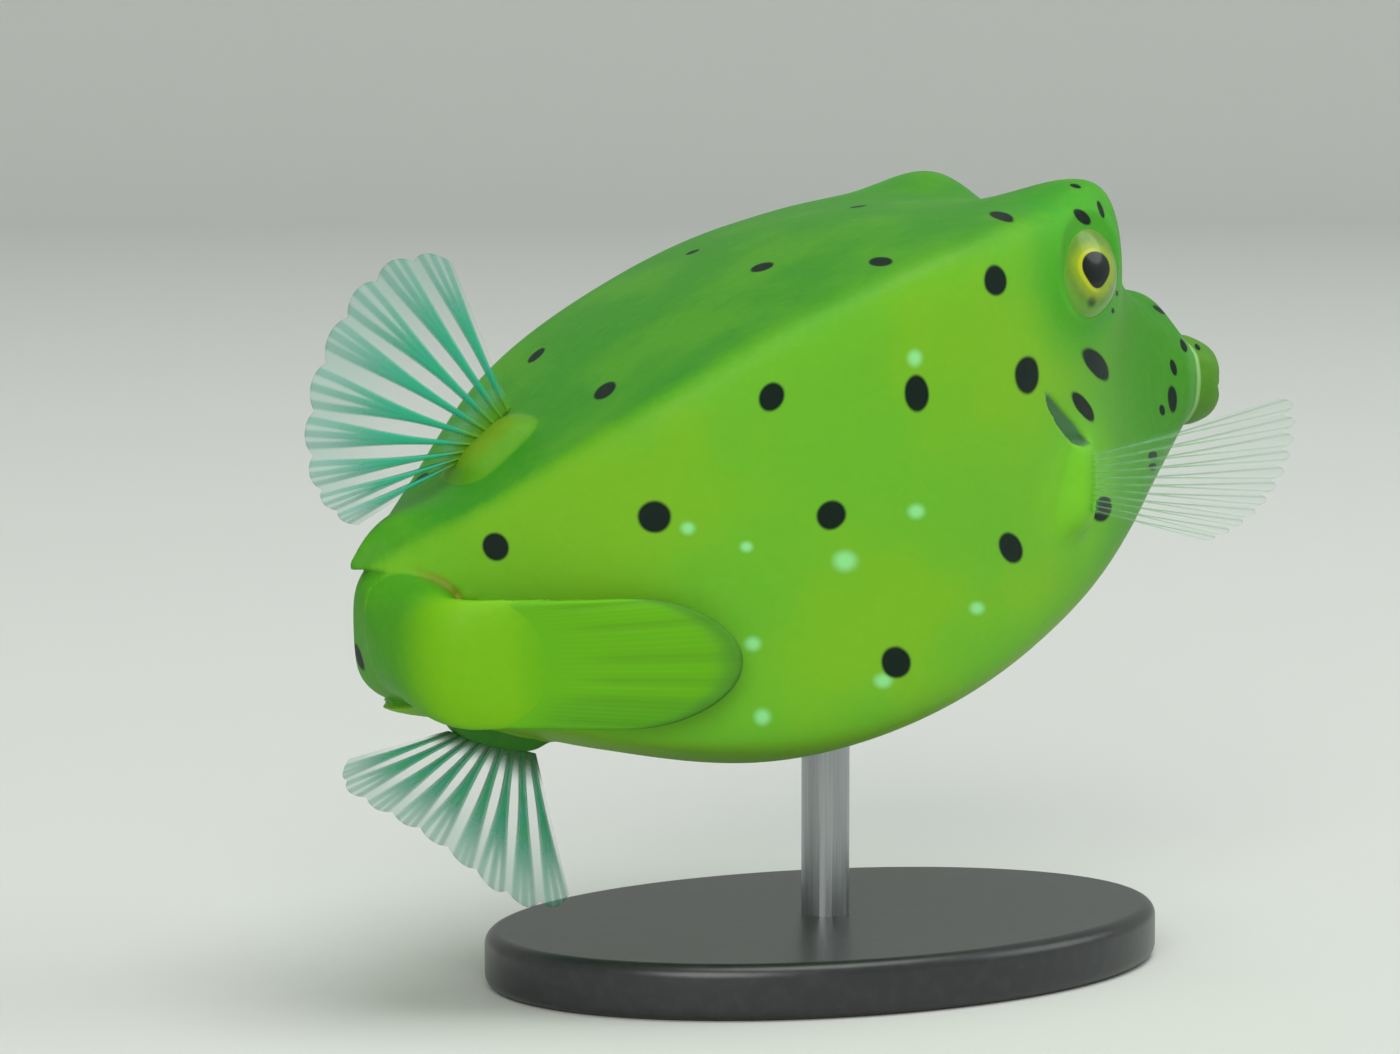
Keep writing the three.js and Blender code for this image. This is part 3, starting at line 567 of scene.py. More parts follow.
def gill_distance(p):
    """Signed distance in mm to the outline of the gill slit, on either side of the fish."""
    q = np.stack([p[:, 0], -np.abs(p[:, 1]), p[:, 2]], 1) - gill_middle
    corner = (gill_corners - gill_middle) @ np.array([gill_along, gill_across]).T
    flat = q @ np.array([gill_along, gill_across]).T
    nearest, inside = np.full(len(p), 9.0), np.zeros(len(p), bool)
    for a, b in zip(corner, np.roll(corner, -1, axis=0)):
        along = np.clip(((flat - a) @ (b - a)) / ((b - a) @ (b - a)), 0, 1)
        nearest = np.minimum(nearest, np.linalg.norm(flat - a - along[:, None] * (b - a), axis=1))
        rises = (a[1] > flat[:, 1]) != (b[1] > flat[:, 1])
        step = (b[1] - a[1]) or 1e-9
        inside ^= rises & (flat[:, 0] < a[0] + (flat[:, 1] - a[1]) / step * (b[0] - a[0]))
    return np.where(np.abs(q @ gill_out) < 3, np.where(inside, -nearest, nearest), 9.0)


def mound_inside(*frame_of):
    """1 in the middle of a mound's foot, 0 at its edge."""
    oval, h = mound_oval(points, *frame_of)
    return np.where((h > -2) & (h < 5), np.clip(1 - oval, 0, 1), 0)


kd = KDTree(len(shell_points))
for i, p in enumerate(shell_points):
    kd.insert(p, i)
kd.balance()
turn = shell_turn[[kd.find(p)[1] for p in points]]
to_shell = np.array([shell_tree.find_nearest(Vector(p))[3] for p in points])
to_tail = np.array([tail_tree.find_nearest(Vector(p))[3] for p in points])
behind = smoothstep(17, 15, points[:, 0])
ridge_turn = (turn + 0.5) % 1 - 0.5          # 0 on the right upper ridge, 0.3 on the left one
upper = smoothstep(-0.03, 0.04, ridge_turn) * smoothstep(0.33, 0.26, ridge_turn)
values = {
    "black_spot": nearest_spot(black),
    "pale_spot": nearest_spot(pale),
    "upper": upper,
    "under": smoothstep(0.49, 0.53, turn) * smoothstep(0.81, 0.77, turn),
    "tail": smoothstep(-0.1, 0.12, to_shell - to_tail) * behind,
    "seam_mm": np.where((points[:, 0] < 12) & (points[:, 1] < 0), np.maximum(to_shell, to_tail), 9.0),
    "gill_mm": gill_distance(points),
    "dorsal_lobe": mound_inside(*lobe_frame(DORSAL)),
    "anal_lobe": mound_inside(*lobe_frame(ANAL)),
    "eye_mm": np.minimum(*(np.linalg.norm(points - mirrored(EYE["at"], s), axis=1) for s in (-1, 1))),
    "arm_mm": np.minimum(*(np.linalg.norm(points - mirrored(PECTORAL["at"], s), axis=1)
                           for s in (-1, 1))),
    "toward_fin": smoothstep(-6, -12, points[:, 1]),
    "x_mm": points[:, 0],
    "z_mm": points[:, 2],
}
for name, value in values.items():
    store(skin.data, name, value)
print("stored on", len(points), "points:", ", ".join(values))
skin.data.transform(to_part)

# %% [markdown]
# Every material is a small network: values stored on the points choose between a few real colours,
# and noise at a real scale breaks them up. One helper turns the hex colours of a paint card to the
# linear numbers a shader wants, one adds a node with its settings and links. A third lays coats of
# colour over each other as a painter does, each one as strong as a value on the points says.

# %% Material helpers
EVEN, SOFT = "LINEAR", "SMOOTHSTEP"


def linear(code):
    """An sRGB hex colour as linear RGBA."""
    parts = [int(code[i:i + 2], 16) / 255 for i in (1, 3, 5)]
    return (*[c / 12.92 if c <= 0.04045 else ((c + 0.055) / 1.055)**2.4 for c in parts], 1)


def node(tree, kind, sockets, out=0, **settings):
    """Adds a shader node, sets its properties, links or sets its inputs, and returns an output."""
    made = tree.nodes.new("ShaderNode" + kind)
    for key, value in settings.items():
        setattr(made, key, value)
    for key, value in sockets.items():
        if isinstance(value, bpy.types.NodeSocket):
            tree.links.new(value, made.inputs[key])
        else:
            made.inputs[key].default_value = value
    return made.outputs[out] if made.outputs else None


def material(name, stored=()):
    """A material, its empty node tree and the values it reads from the points, by their names."""
    made = bpy.data.materials.new(name)
    made.use_nodes = True
    tree = made.node_tree
    tree.nodes.clear()
    return made, tree, [node(tree, "Attribute", {}, "Fac", attribute_name=value,
                             attribute_type="GEOMETRY") for value in stored]


def coats(tree, colour, layers):
    """Lays colours over a first one; each coat rises to its strength between two limits of a value."""
    for value, rise, low, high, strength, code in layers:
        amount = node(tree, "MapRange", {"Value": value, "From Min": low, "From Max": high,
                                         "To Max": strength}, interpolation_type=rise)
        colour = node(tree, "Mix", {0: amount, 6: colour, 7: linear(code)}, 2, data_type="RGBA")
    return colour


# %% [markdown]
# The skin is thin, smooth and slightly translucent over bone. On the flanks it is lime with soft
# ochre clouds; the back between the upper ridges is a deeper green, partly its own colour and partly
# painted shade, and the snout darker still. A pale line of painted highlight lies in the groove
# behind the lips. Painting all this on one skin, with values that fade over
# some millimetres, keeps the borders soft, where one material for each region would cut them hard.

# %% Colours of the skin
LIP_GROOVE, PLATES_MM = 86.1, 4.6
skin_look, t, read = material("smooth_boxfish_skin", (
    "x_mm", "under", "upper", "eye_mm", "arm_mm", "tail", "toward_fin", "dorsal_lobe", "anal_lobe",
    "seam_mm", "gill_mm"))
x_mm, under, upper, eye_mm, arm_mm, tail_flesh, toward_fin, dorsal_lobe, anal_lobe, seam_mm, gill_mm = read
place = node(t, "TexCoord", {}, "Object")
cloud, back_cloud, grain, waver, pores = [
    node(t, "TexNoise", {"Vector": place, "Scale": 1000 / size_mm, "Detail": detail, "Roughness": rough})
    for size_mm, detail, rough in ((17, 2, 0.5), (11, 3, 0.5), (0.9, 4, 0.6), (2.5, 1, 0.5), (0.45, 2, 0.5))]

# the lime flanks and the belly
colour = coats(t, linear("#64ae24"), [
    (cloud, SOFT, 0.4, 0.68, 1, "#73b01c"),
    (x_mm, SOFT, 26, 4, 0.5, "#66a814"),
    (x_mm, SOFT, 56, 70, 0.55, "#52982a"),
    (under, EVEN, 0, 1, 0.6, "#7aa834")])
# the deeper green of the back, partly painted shade; then the snout, the ring round the eye, a painted
# highlight round the pectoral mounds, the lips and a painted highlight in the groove behind them
back = coats(t, linear("#34861a"), [(back_cloud, SOFT, 0.4, 0.65, 1, "#459018")])
colour = node(t, "Mix", {0: upper, 6: colour, 7: back}, 2, data_type="RGBA")
from_groove_highlight = node(t, "Math", {0: x_mm, 1: LIP_GROOVE}, operation="SUBTRACT")
from_groove_highlight = node(t, "Math", {0: from_groove_highlight}, operation="ABSOLUTE")
colour = coats(t, colour, [
    (x_mm, SOFT, 64, 80, 0.82, "#31801c"),
    (eye_mm, SOFT, 11, 5, 0.7, "#309a20"),
    # painted highlight: brighter lime on the mound round each pectoral fin's base
    (arm_mm, SOFT, 9, 3, 0.5, "#74c426"),
    (x_mm, SOFT, 84.2, 85.4, 0.35, "#62a05a"),
    (x_mm, SOFT, 85.9, 86.5, 0.88, "#4c8220"),
    # painted highlight: a pale line along the groove behind the lips
    (from_groove_highlight, SOFT, 0.3, 0.1, 0.55, "#a4cc8c"),
    (tail_flesh, EVEN, 0, 1, 0.88, "#388a12")])
print(len(t.nodes), "nodes for the body")

# %% [markdown]
# The flesh of the tail is yellow where it bends and takes the green of the fin toward it, so that
# the eye doesn't find where one ends. The thin ochre line is partly the raw edge of the shell and
# partly painted shade in the crease where the shell overlaps the flesh. The mounds
# under the fins, a fine grain of pigment and the dull floor of the gill slits are further coats.

# %% Colours of the tail, the mounds and the gill slits
fin_flesh = coats(t, linear("#6eae06"), [(x_mm, SOFT, 6.0, 10.5, 1, "#5aa504")])
outer = node(t, "Math", {0: tail_flesh, 1: toward_fin}, operation="MULTIPLY")
outer = node(t, "Math", {0: outer, 1: 0.97}, operation="MULTIPLY")
colour = node(t, "Mix", {0: outer, 6: colour, 7: fin_flesh}, 2, data_type="RGBA")
at_seam = node(t, "MapRange", {"Value": seam_mm, "From Min": 0.8, "From Max": 0.3}, interpolation_type=SOFT)
in_front = node(t, "MapRange", {"Value": x_mm, "From Min": 2.5, "From Max": 5.0}, interpolation_type=SOFT)
ochre_edge_and_shade = node(t, "Math", {0: at_seam, 1: in_front}, operation="MULTIPLY")
colour = coats(t, colour, [
    (dorsal_lobe, SOFT, 0.0, 0.12, 0.85, "#569414"),
    (dorsal_lobe, SOFT, 0.5, 1.0, 0.45, "#74821c"),
    (anal_lobe, SOFT, 0.0, 0.15, 0.85, "#1f6f26"),
    # partly the shell's ochre raw edge, partly painted shade in the crease along it
    (ochre_edge_and_shade, EVEN, 0, 1, 0.55, "#7a6418"),
    (grain, SOFT, 0.35, 0.75, 0.04, "#a8c848"),
    (gill_mm, SOFT, 0.12, -0.12, 0.92, "#4f7a58")])
print(len(t.nodes), "nodes with the tail")

# %% [markdown]
# The pale spots have a soft edge, as pigment deep in the skin does, and the black ones a crisp one.
# How far out a point lies on its oval is the length of the place that its corner stores, and a
# little noise added to it keeps the edges from looking stencilled. A bump draws the faint plates of
# the shell, four to five millimetres across, and fine pores that break the gloss.

# %% Spots, relief and gloss of the skin
waver = node(t, "Math", {0: waver, 1: 0.5}, operation="SUBTRACT")
waver = node(t, "Math", {0: waver, 1: 0.2}, operation="MULTIPLY")
for spots, inner, outer, strength, code in (("pale_spot", 1.45, 0.3, 0.85, "#8fe094"),
                                            ("black_spot", 1.14, 0.86, 1, "#021a10")):
    in_oval = node(t, "Attribute", {}, "Vector", attribute_name=spots, attribute_type="GEOMETRY")
    out_from = node(t, "VectorMath", {0: in_oval}, "Value", operation="LENGTH")
    out_from = node(t, "Math", {0: out_from, 1: waver}, operation="ADD")
    colour = coats(t, colour, [(out_from, SOFT, inner, outer, strength, code)])
plates = node(t, "TexVoronoi", {"Vector": place, "Scale": 1000 / PLATES_MM, "Randomness": 0.7},
              "Distance", feature="DISTANCE_TO_EDGE")
plates = node(t, "MapRange", {"Value": plates, "From Min": 0.0, "From Max": 0.09},
              interpolation_type=SOFT)
relief = node(t, "Math", {0: plates, 1: pores}, operation="ADD")
relief = node(t, "Math", {0: relief, 1: 0.5}, operation="MULTIPLY")
bump = node(t, "Bump", {"Strength": 0.10, "Distance": 0.0002, "Height": relief})
node(t, "OutputMaterial", {"Surface": node(t, "BsdfPrincipled", {
    "Base Color": colour, "Roughness": 0.5, "IOR": 1.4, "Specular IOR Level": 0.25,
    "Subsurface Weight": 0.1, "Subsurface Radius": (0.6, 1.0, 0.3), "Subsurface Scale": 0.0008,
    "Normal": bump})})
skin.data.materials.clear()
skin.data.materials.append(skin_look)
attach(skin, "root")
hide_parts("head", "torso", "upper_lip", "lower_lip", "caudal_peduncle", "dorsal_fin_lobe",
            "anal_fin_lobe", "pectoral_base_right", "pectoral_base_left")

# %% [markdown]
# A fish's eye is a flattened ball. The pupil of this one comes to a point below, a bright yellow
# line rings it, and a dull olive iris lies outside that, with one dark smudge under the pupil. The
# eyeball keeps on its points how far they are from the middle of the pupil, measured square to the
# gaze, which is straighter out to the side than the ball itself is set. A clear coat makes it wet.

# %% Eyes
def oval_ball(name, side, r, deep):
    """A flattened ball on the eye's axis, r across and deep along it, and its view along the gaze."""
    out, gaze = (Vector(mirrored(EYE[k], side)) for k in ("out", "gaze"))
    at = Vector(mirrored(EYE["at"], side)) - out * EYE["sunk"]
    bm = bmesh.new()
    bmesh.ops.create_uvsphere(bm, u_segments=128, v_segments=96, radius=1)
    bmesh.ops.scale(bm, vec=(r, r, deep), verts=bm.verts)
    bmesh.ops.rotate(bm, matrix=out.to_track_quat("Z", "Y").to_matrix(), verts=bm.verts)
    bmesh.ops.translate(bm, vec=at, verts=bm.verts)
    up = (Vector((0.12, 0, 1)) - gaze * gaze.z).normalized()
    ahead = up.cross(gaze) * -side
    local = np.array([((v.co - at) @ ahead - EYE["pupil_ahead"], (v.co - at) @ up) for v in bm.verts])
    return to_object(name, bm), local


PUPIL_MM, PUPIL_WIDE = 1.45, 1.2            # its radius, and how much wider than high it is
eye_look, t, read = material("eye_with_yellow_rim", ("ring_mm", "pupil_mm", "smudge_mm", "behind_mm"))
ring_mm, pupil_mm, smudge_mm, behind_mm = read
flecks = node(t, "TexNoise", {"Vector": node(t, "TexCoord", {}, "Object"), "Scale": 1000 / 0.9,
                              "Detail": 3, "Roughness": 0.6})
iris = coats(t, linear("#55842a"), [
    (flecks, SOFT, 0.3, 0.75, 1, "#6c8c24"),
    (ring_mm, SOFT, 3.0, 3.9, 1, "#5f9a2c"),
    (smudge_mm, SOFT, 0.3, -0.3, 0.85, "#1c3c1c"),
    (pupil_mm, SOFT, 1.4, 0.3, 0.65, "#98ac12")])
rim = node(t, "MapRange", {"Value": pupil_mm, "From Min": 0.5, "From Max": 0.25}, interpolation_type=SOFT)
rear = node(t, "MapRange", {"Value": behind_mm, "From Min": -0.9, "From Max": 0.5}, interpolation_type=SOFT)
rim = node(t, "Math", {0: rim, 1: rear}, operation="MULTIPLY")
iris = coats(t, iris, [(rim, EVEN, 0, 1, 0.75, "#b8bc14"), (pupil_mm, SOFT, 0.08, -0.04, 1, "#020c0c")])
node(t, "OutputMaterial", {"Surface": node(t, "BsdfPrincipled", {
    "Base Color": iris, "Roughness": 0.3, "IOR": 1.38, "Specular IOR Level": 0.3, "Coat Weight": 0.35,
    "Coat Roughness": 0.08})})
for name, side in (("right", -1), ("left", 1)):
    eyeball, local = oval_ball(f"eyeball_{name}", side, EYE["r"], EYE["deep"])
    ahead, up = local.T
    r = np.hypot(ahead / PUPIL_WIDE, up)
    below = np.clip(-up / np.maximum(r, 1e-6), 0, 1)
    store(eyeball.data, "ring_mm", np.hypot(ahead, up))
    store(eyeball.data, "pupil_mm", r - (PUPIL_MM + 0.45 * below**7 - 0.12 * np.clip(up / 1.5, 0, 1)**4))
    store(eyeball.data, "behind_mm", -ahead)
    store(eyeball.data, "smudge_mm", np.hypot(ahead + 0.4, up + 3.1) - 0.5)
    eyeball.data.materials.append(eye_look)
    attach(eyeball, "root")
    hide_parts(f"eye_{name}")
print("eyes: pupil", round(2 * PUPIL_MM * PUPIL_WIDE, 1), "mm across in an eye of", 2 * EYE["r"], "mm")

# %% [markdown]
# Each fin is a web stretched over soft rays that fork toward the margin. A fin is lofted as a very
# flat tube from its root to its margin, so it is closed all round; the rays are ridges in the same
# surface, on both faces. The points also keep how much of a ray they are, so that the material can
# make the rays solid and the web between them nearly clear.

# %% Fin shapes
def through(points):
    rows = np.array(points, float)
    return lambda w: smooth_rows(rows, w)


def forked(rays, broad, strands):
    """Soft rays that split into strands on the way out; 1 on a ray, 0 on the web."""
    def amount(t, w):
        nth = np.floor(w * rays)
        phase = (w * rays) % 1 - 0.5 + 0.05 * np.sin(2.4 * nth + 1) * t
        spread = 0.02 + (0.27 + 0.05 * np.sin(3.7 * nth)) * smoothstep(0.1, 1.0, t)
        narrow = broad * (1 - 0.3 * t)
        web = 1
        for strand in np.linspace(-1, 1, strands):
            web = web * (1 - np.exp(-((phase - spread * strand) / narrow)**2))
        return 1 - web
    return amount


FOLDS = ((0.09, 0.035), (0.27, 0.03), (0.47, 0.04), (0.6, 0.03), (0.73, 0.045), (0.9, 0.035))


def folded(t, w):
    """Low, soft folds of a thick fin; 0 in the bottom of a fold, 1 between folds."""
    depth = sum(np.exp(-((w - at) / wide)**2) for at, wide in FOLDS)
    return 1 - np.clip(depth, 0, 1) * smoothstep(0.3, 0.6, t)


def fin_place(rays, rayed, root, tip, normal, web, ray, scallop=0.05, ripple=0.12, bend=None, thin=0.85,
              root_swell=0.0):
    normal = unit(*normal)

    def place(t, u):
        front = u < 0.5
        w = np.where(front, 2 * u, 2 - 2 * u)
        side = np.where(front, 1, -1) * np.sqrt(np.clip(1 - (2 * w - 1)**24, 0, 1))
        phase = (w * rays) % 1
        on_ray = rayed(t, w)
        reach = t * (1 - scallop * (np.abs(phase - 0.5) * 2)**2)
        a, b = root(w), tip(w)
        p = a + (b - a) * reach[:, None]
        off = (bend(w, t) if bend else 0) + ripple * t * np.cos(2 * np.pi * phase)
        half = (web * (1 - 0.4 * t**3) + (ray - web) * (1 - thin * t) * on_ray) / 2
        half = half + root_swell * np.exp(-(t / 0.22)**2) * (1 - (2 * w - 1)**2)
        half = half * np.sqrt(1 - t**30)                 # the margin is thin
        p = p + normal * (off + side * half)[:, None]
        return p, {"ray": on_ray, "reach": t, "across": w}
    return place


def lobe_line(lobe, sink):
    a, b, up = (np.array(lobe[k], float) for k in ("from", "to", "up"))
    up = up / np.linalg.norm(up)
    top = up * (lobe["height"] - sink)
    return lambda w: a + top + (b - a) * (0.06 + 0.88 * w)[:, None]


FINS = {}
FINS["dorsal_fin"] = fin_place(
    9, forked(9, 0.13, 3), lobe_line(DORSAL, 0.4),
    through([(10.9, 0, 28.2), (6.6, 0, 28.6), (2.4, 0, 26.7), (-1, 0, 23), (-3.5, 0, 18.5),
             (-4.6, 0, 13.8), (-4.2, 0, 9.9), (-2.7, 0, 7.4), (-0.4, 0, 5.6)]),
    (0, 1, 0), 0.3, 0.9, bend=lambda w, t: 0.5 * np.sin(5 * w + 1) * t * t)
FINS["anal_fin"] = fin_place(
    9, forked(9, 0.14, 3), lobe_line(ANAL, 0.4),
    through([(18.3, 0, -30.4), (15.0, 0, -30.6), (11.4, 0, -28.6), (8.2, 0, -25.6), (5.2, 0, -22.9),
             (2.2, 0, -20.7), (-0.8, 0, -18.7), (-3.2, 0, -16.6), (-3.0, 0, -14.4)]),
    (0, 1, 0), 0.3, 0.9, bend=lambda w, t: 0.5 * np.sin(4 * w) * t * t)

CAUDAL_ROOT, CAUDAL_END = np.array((3.6, -11.3, -5.6)), np.array((25.8, -20.6, -7.4))
caudal_length = np.linalg.norm(CAUDAL_END - CAUDAL_ROOT)
caudal_dir = unit(*(CAUDAL_END - CAUDAL_ROOT))
caudal_up = unit(*(np.array((0, 0, 1)) - caudal_dir * caudal_dir[2]))


def caudal_tip(w):
    a = np.pi * (0.5 - w)[:, None]
    return (CAUDAL_ROOT + caudal_dir * caudal_length * (0.62 + 0.38 * np.cos(a)**1.15)
            + caudal_up * 5.65 * np.sin(a))


FINS["caudal_fin"] = fin_place(
    7, folded, lambda w: CAUDAL_ROOT + caudal_up * (5.4 * (1 - 2 * w))[:, None], caudal_tip,
    np.cross(caudal_dir, caudal_up), 0.74, 0.9, scallop=0.0, ripple=0.0, thin=0.6,
    root_swell=0.75, bend=lambda w, t: 0.63 * np.sin(np.pi * t) + 0.25 * np.cos(6 * w) * t * t)


def pectoral(side):
    out, up = mirrored(PECTORAL["out"], side), mirrored(PECTORAL["up"], side)
    up = unit(*(up - out * (up @ out)))
    base = mirrored(PECTORAL["at"], side) + out * 1.0
    reach = unit(0.80, 0.585 * side, 0.10)
    rise = unit(*(up - reach * (up @ reach)))

    def tip(w):
        a = 0.22 + (-0.66 - 0.22) * w
        length = 19.6 - 7.2 * w**1.5
        return (base + reach * (length * np.cos(a))[:, None]
                + rise * (length * np.sin(a) + 0.8)[:, None])
    return fin_place(11, forked(11, 0.1, 2), lambda w: base + rise * (2.6 * (1 - 2 * w))[:, None], tip,
                     np.cross(reach, rise), 0.22, 0.5, scallop=0.06, bend=lambda w, t: 1.2 * t * t)


FINS["pectoral_fin_right"], FINS["pectoral_fin_left"] = pectoral(-1), pectoral(1)

# %% [markdown]
# The webs let light through, so they are nearly clear films with a green cast, and the rays in them
# are mint green bands that fade toward the margin. The tail fin is thicker and stays lime green, with
# yellow at its root and darker lines where it folds between its rays. Its tip fades to a smoky edge.

# %% Fin materials
def clear_fin(name, root_hex, ray_hex, margin_hex, web_hex, web_alpha, ray_alpha, margin_alpha, fleshy):
    """Clear web with coloured rays; up to the reach called fleshy it is as solid as its rays."""
    made, t, (reach, on_ray) = material(name, ("reach", "ray"))
    mottle = node(t, "TexNoise", {"Vector": node(t, "TexCoord", {}, "Object"), "Scale": 1000 / 0.7,
                                  "Detail": 3, "Roughness": 0.5})
    rays = coats(t, linear(ray_hex), [(reach, SOFT, 0.45, 1.0, 1, margin_hex),
                                      (mottle, SOFT, 0.3, 0.8, 1, margin_hex)])
    amount = node(t, "MapRange", {"Value": on_ray, "From Min": 0.15, "From Max": 0.75},
                  interpolation_type=SOFT)
    colour = node(t, "Mix", {0: amount, 6: linear(web_hex), 7: rays}, 2, data_type="RGBA")
    colour = coats(t, colour, [(reach, SOFT, fleshy, 0.04, 1, root_hex)])
    film, solid = (node(t, "MapRange", {"Value": reach, "From Min": low, "From Max": 1.0,
                                        "To Min": inner, "To Max": outer}, interpolation_type=SOFT)
                   for low, inner, outer in ((0.4, web_alpha, margin_alpha / 2),
                                             (0.35, ray_alpha, margin_alpha)))
    opaque = node(t, "Mix", {0: amount, 2: film, 3: solid}, data_type="FLOAT")
    at_root = node(t, "MapRange", {"Value": reach, "From Min": fleshy, "From Max": 0.02},
                   interpolation_type=SOFT)
    opaque = node(t, "Mix", {0: at_root, 2: opaque, 3: ray_alpha}, data_type="FLOAT")
    node(t, "OutputMaterial", {"Surface": node(t, "BsdfPrincipled", {
        "Base Color": colour, "Alpha": opaque, "Roughness": 0.45, "IOR": 1.4,
        "Specular IOR Level": 0.3})})
    return made


dorsal_look = clear_fin("clear_web_mint_rays", "#5f9f2a", "#22a878", "#2f9f8c", "#6fb8a4", 0.03, 0.88,
                        0.35, 0.2)
anal_look = clear_fin("clear_web_dark_green_rays", "#1d6c26", "#129a62", "#279a82", "#5aa890", 0.04,
                      0.85, 0.35, 0.25)
side_look = clear_fin("glassy_web_thin_rays", "#6cc02e", "#6aa860", "#8ab49a", "#a8ccb4", 0.03, 0.4,
                      0.2, 0.07)
tail_look, t, (reach, fold, across) = material("soft_lime_tail_fin", ("reach", "ray", "across"))
lower, outer = (node(t, "MapRange", {"Value": value, "From Min": low, "From Max": high},
                     interpolation_type=SOFT)
                for value, low, high in ((across, 0.62, 0.8), (reach, 0.25, 0.5)))
lower = node(t, "Math", {0: lower, 1: outer}, operation="MULTIPLY")
fibres = node(t, "Math", {0: across, 1: 190.0}, operation="MULTIPLY")
fibres = node(t, "Math", {0: fibres}, operation="SINE")
fibres = node(t, "MapRange", {"Value": fibres, "From Min": -0.2, "From Max": 1.0},
              interpolation_type=SOFT)
fibres = node(t, "Math", {0: fibres, 1: outer}, operation="MULTIPLY")
colour = coats(t, linear("#6eae06"), [
    (reach, SOFT, 0.11, 0.31, 1, "#5aa504"),
    (lower, EVEN, 0, 1, 1, "#4c960c"),
    (fibres, EVEN, 0, 1, 0.1, "#86b414"),
    (fold, SOFT, 0.9, 0.0, 0.28, "#4c8614"),
    (reach, SOFT, 0.86, 1.0, 0.7, "#4a8a2c")])
smoky = node(t, "MapRange", {"Value": reach, "From Min": 0.9, "From Max": 1.0, "To Min": 1.0,
                             "To Max": 0.72}, interpolation_type=SOFT)
node(t, "OutputMaterial", {"Surface": node(t, "BsdfPrincipled", {
    "Base Color": colour, "Alpha": smoky, "Roughness": 0.5, "IOR": 1.4, "Specular IOR Level": 0.3,
    "Subsurface Weight": 0.1, "Subsurface Radius": (0.6, 1.0, 0.3), "Subsurface Scale": 0.0006})})
FIN_RINGS, FIN_AROUND = 48, 560
FIN_LOOKS = {"dorsal_fin": dorsal_look, "anal_fin": anal_look, "caudal_fin": tail_look,
             "pectoral_fin_right": side_look, "pectoral_fin_left": side_look}
for name, place in FINS.items():
    piece = to_object(name + "_web", loft(FIN_RINGS, FIN_AROUND, place))
    piece.data.materials.append(FIN_LOOKS[name])
    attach(piece, "root")
    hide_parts(name)
    print(name, len(piece.data.polygons), "faces")

# %% [markdown]
# The stand is a lacquered oval board and a drawn steel rod. The CAD plate's rim is a row of flat
# facets, so the plate is modelled again at the same size: a circle is stretched, extruded, and its
# two edges are bevelled. The lacquer has the faint waviness of a sprayed coat, and the fine
# scratches of the rod run along it.

# %% Stand
PLATE = {"long": 0.066, "wide": 0.046, "thick": 0.005, "round": 0.0012}
SCRATCH_MM = 0.2
plate_look, t, _ = material("satin_black_lacquer")
place = node(t, "TexCoord", {}, "Object")
waves, dust = (node(t, "TexNoise", {"Vector": place, "Scale": 1000 / size_mm, "Detail": detail,
                                    "Roughness": 0.5}) for size_mm, detail in ((6, 2), (1.2, 4)))
bump = node(t, "Bump", {"Strength": 0.05, "Distance": 0.0005, "Height": waves})
tone = coats(t, linear("#232527"), [(dust, SOFT, 0.4, 0.7, 1, "#2a2c2e")])
node(t, "OutputMaterial", {"Surface": node(t, "BsdfPrincipled", {
    "Base Color": tone, "Roughness": 0.32, "IOR": 1.5, "Normal": bump})})
bm = bmesh.new()
bmesh.ops.create_circle(bm, cap_ends=True, segments=160, radius=0.5)
bmesh.ops.scale(bm, vec=(PLATE["long"], PLATE["wide"], 1), verts=bm.verts)
made = bmesh.ops.extrude_face_region(bm, geom=bm.faces[:])
bmesh.ops.translate(bm, vec=(0, 0, PLATE["thick"]),
                    verts=[g for g in made["geom"] if isinstance(g, bmesh.types.BMVert)])
rims = [e for e in bm.edges if abs(e.verts[0].co.z - e.verts[1].co.z) < 1e-6]
bmesh.ops.bevel(bm, geom=rims, offset=PLATE["round"], offset_type="OFFSET", segments=5, profile=0.5,
                affect="EDGES", material=-1)
bmesh.ops.recalc_face_normals(bm, faces=bm.faces)
plate = to_object("lacquered_plate", bm, level)
for polygon in plate.data.polygons:
    polygon.use_smooth = abs(polygon.normal.z) < 0.999
plate.data.materials.append(plate_look)
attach(plate, "root")
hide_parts("stand_base")
rod_look, t, _ = material("drawn_steel")
along = node(t, "Mapping", {"Vector": node(t, "TexCoord", {}, "Object"), "Scale": (1, 1, 0.02)})
lines = node(t, "TexNoise", {"Vector": along, "Scale": 1000 / SCRATCH_MM, "Detail": 2})
tone = coats(t, linear("#8d9194"), [(lines, EVEN, 0, 1, 1, "#b4b8ba")])
bump = node(t, "Bump", {"Strength": 0.15, "Distance": 0.0001, "Height": lines})
node(t, "OutputMaterial", {"Surface": node(t, "BsdfPrincipled", {
    "Base Color": tone, "Metallic": 1.0, "Roughness": 0.34, "Normal": bump})})
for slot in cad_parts["stand_rod"].material_slots:
    slot.link = "OBJECT"
    slot.material = rod_look
print("plate", [round(d * 1000, 1) for d in plate.dimensions], "mm")

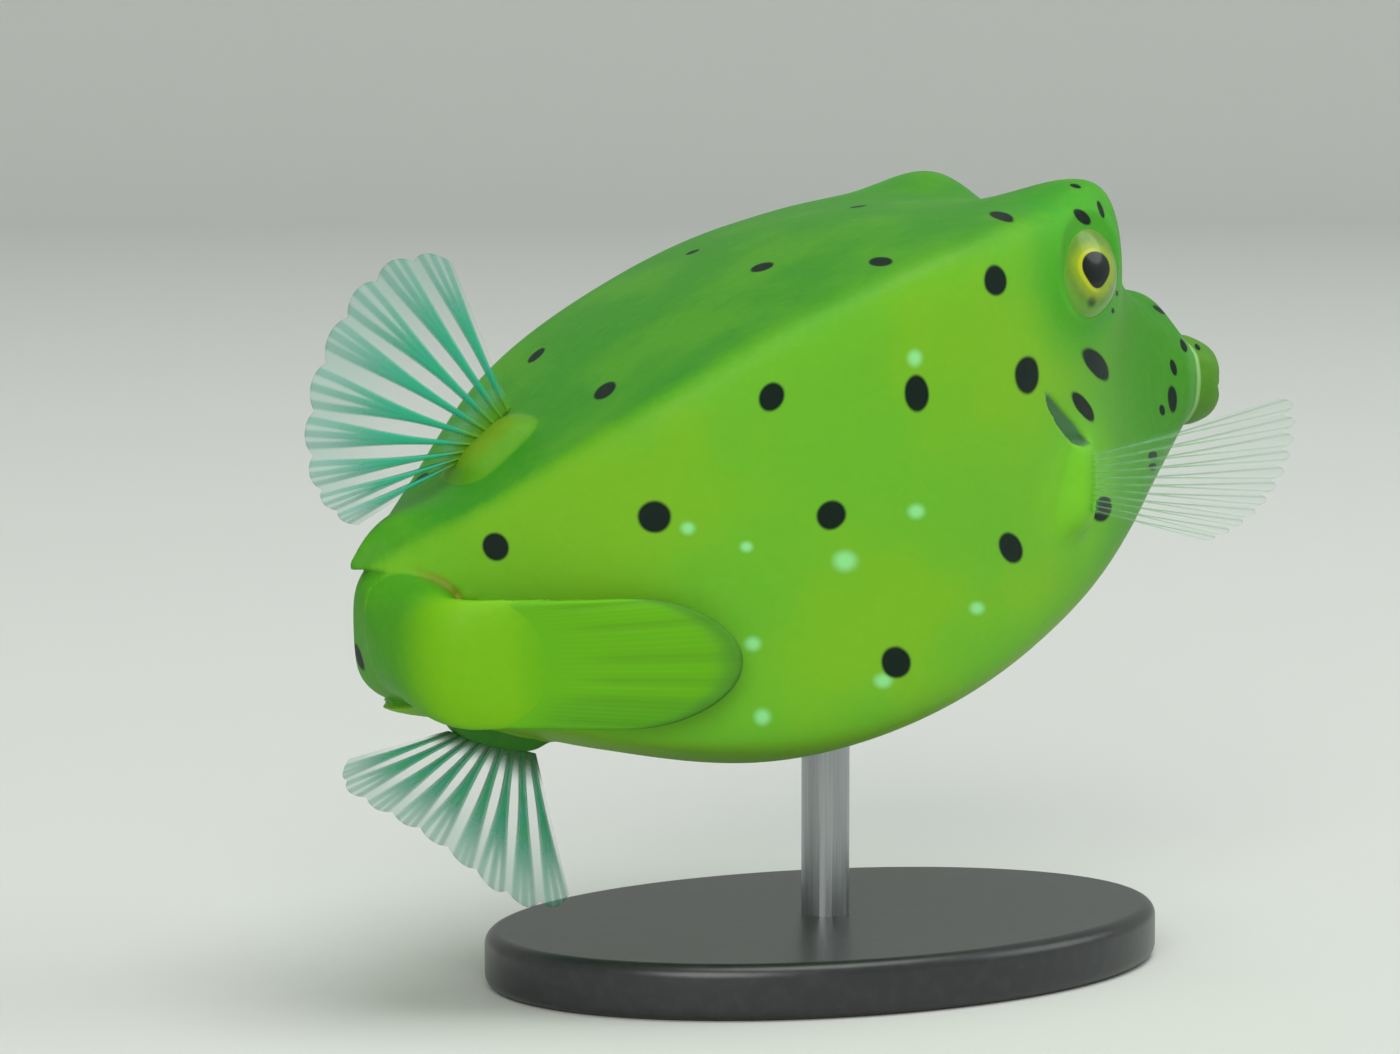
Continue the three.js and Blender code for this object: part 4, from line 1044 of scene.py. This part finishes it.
# %% [markdown]
# A photographer's sweep surrounds the model: a pale floor that curves up into a wall on every side,
# so that no horizon shows from any angle. It is one profile turned about the vertical axis. Three
# large soft lights stand in for the bright water around the fish: one above and ahead, one behind
# the camera, one low fill.

# %% Sweep and lights
bm = bmesh.new()
profile = [bm.verts.new(p) for p in [(0, 0, 0), (1.6, 0, 0)]]
profile += [bm.verts.new((1.6 + 0.6 * math.sin(a), 0, 0.6 - 0.6 * math.cos(a)))
            for a in np.linspace(0.15, math.pi / 2, 10)]
profile.append(bm.verts.new((2.2, 0, 2.2)))
edges = [bm.edges.new(pair) for pair in zip(profile, profile[1:])]
bmesh.ops.spin(bm, geom=profile + edges, cent=(0, 0, 0), axis=(0, 0, 1), angle=2 * math.pi, steps=96,
               use_merge=True)
bmesh.ops.remove_doubles(bm, verts=bm.verts, dist=1e-5)
bmesh.ops.recalc_face_normals(bm, faces=bm.faces)
sweep = to_object("sweep", bm, level)
sweep_look, t, _ = material("pale_paper_sweep")
node(t, "OutputMaterial", {"Surface": node(t, "BsdfPrincipled", {
    "Base Color": linear("#cdd0cc"), "Roughness": 0.9})})
sweep.data.materials.append(sweep_look)


def soft_light(name, at, size, power, tint):
    data = bpy.data.lights.new(name, "AREA")
    data.shape, data.size, data.energy, data.color = "DISK", size, power, linear(tint)[:3]
    light = bpy.data.objects.new(name, data)
    light.location = at
    light.rotation_mode = "QUATERNION"
    light.rotation_quaternion = (Vector(at) - Vector((0, 0, 0.04))).to_track_quat("Z", "Y")
    bpy.context.scene.collection.objects.link(light)


soft_light("overhead", (0.25, -0.4, 1.9), 1.4, 20, "#ffffff")
soft_light("behind_camera", (-0.9, -1.3, 0.9), 1.1, 17, "#fffdf8")
soft_light("ahead", (1.2, -0.5, 0.8), 0.9, 5, "#f6fffb")
world = bpy.data.worlds.new("daylight")
world.use_nodes = True
world.node_tree.nodes["Background"].inputs["Color"].default_value = linear("#f4f8f7")
world.node_tree.nodes["Background"].inputs["Strength"].default_value = 0.45
bpy.context.scene.world = world
bpy.context.scene.view_settings.view_transform = "Standard"
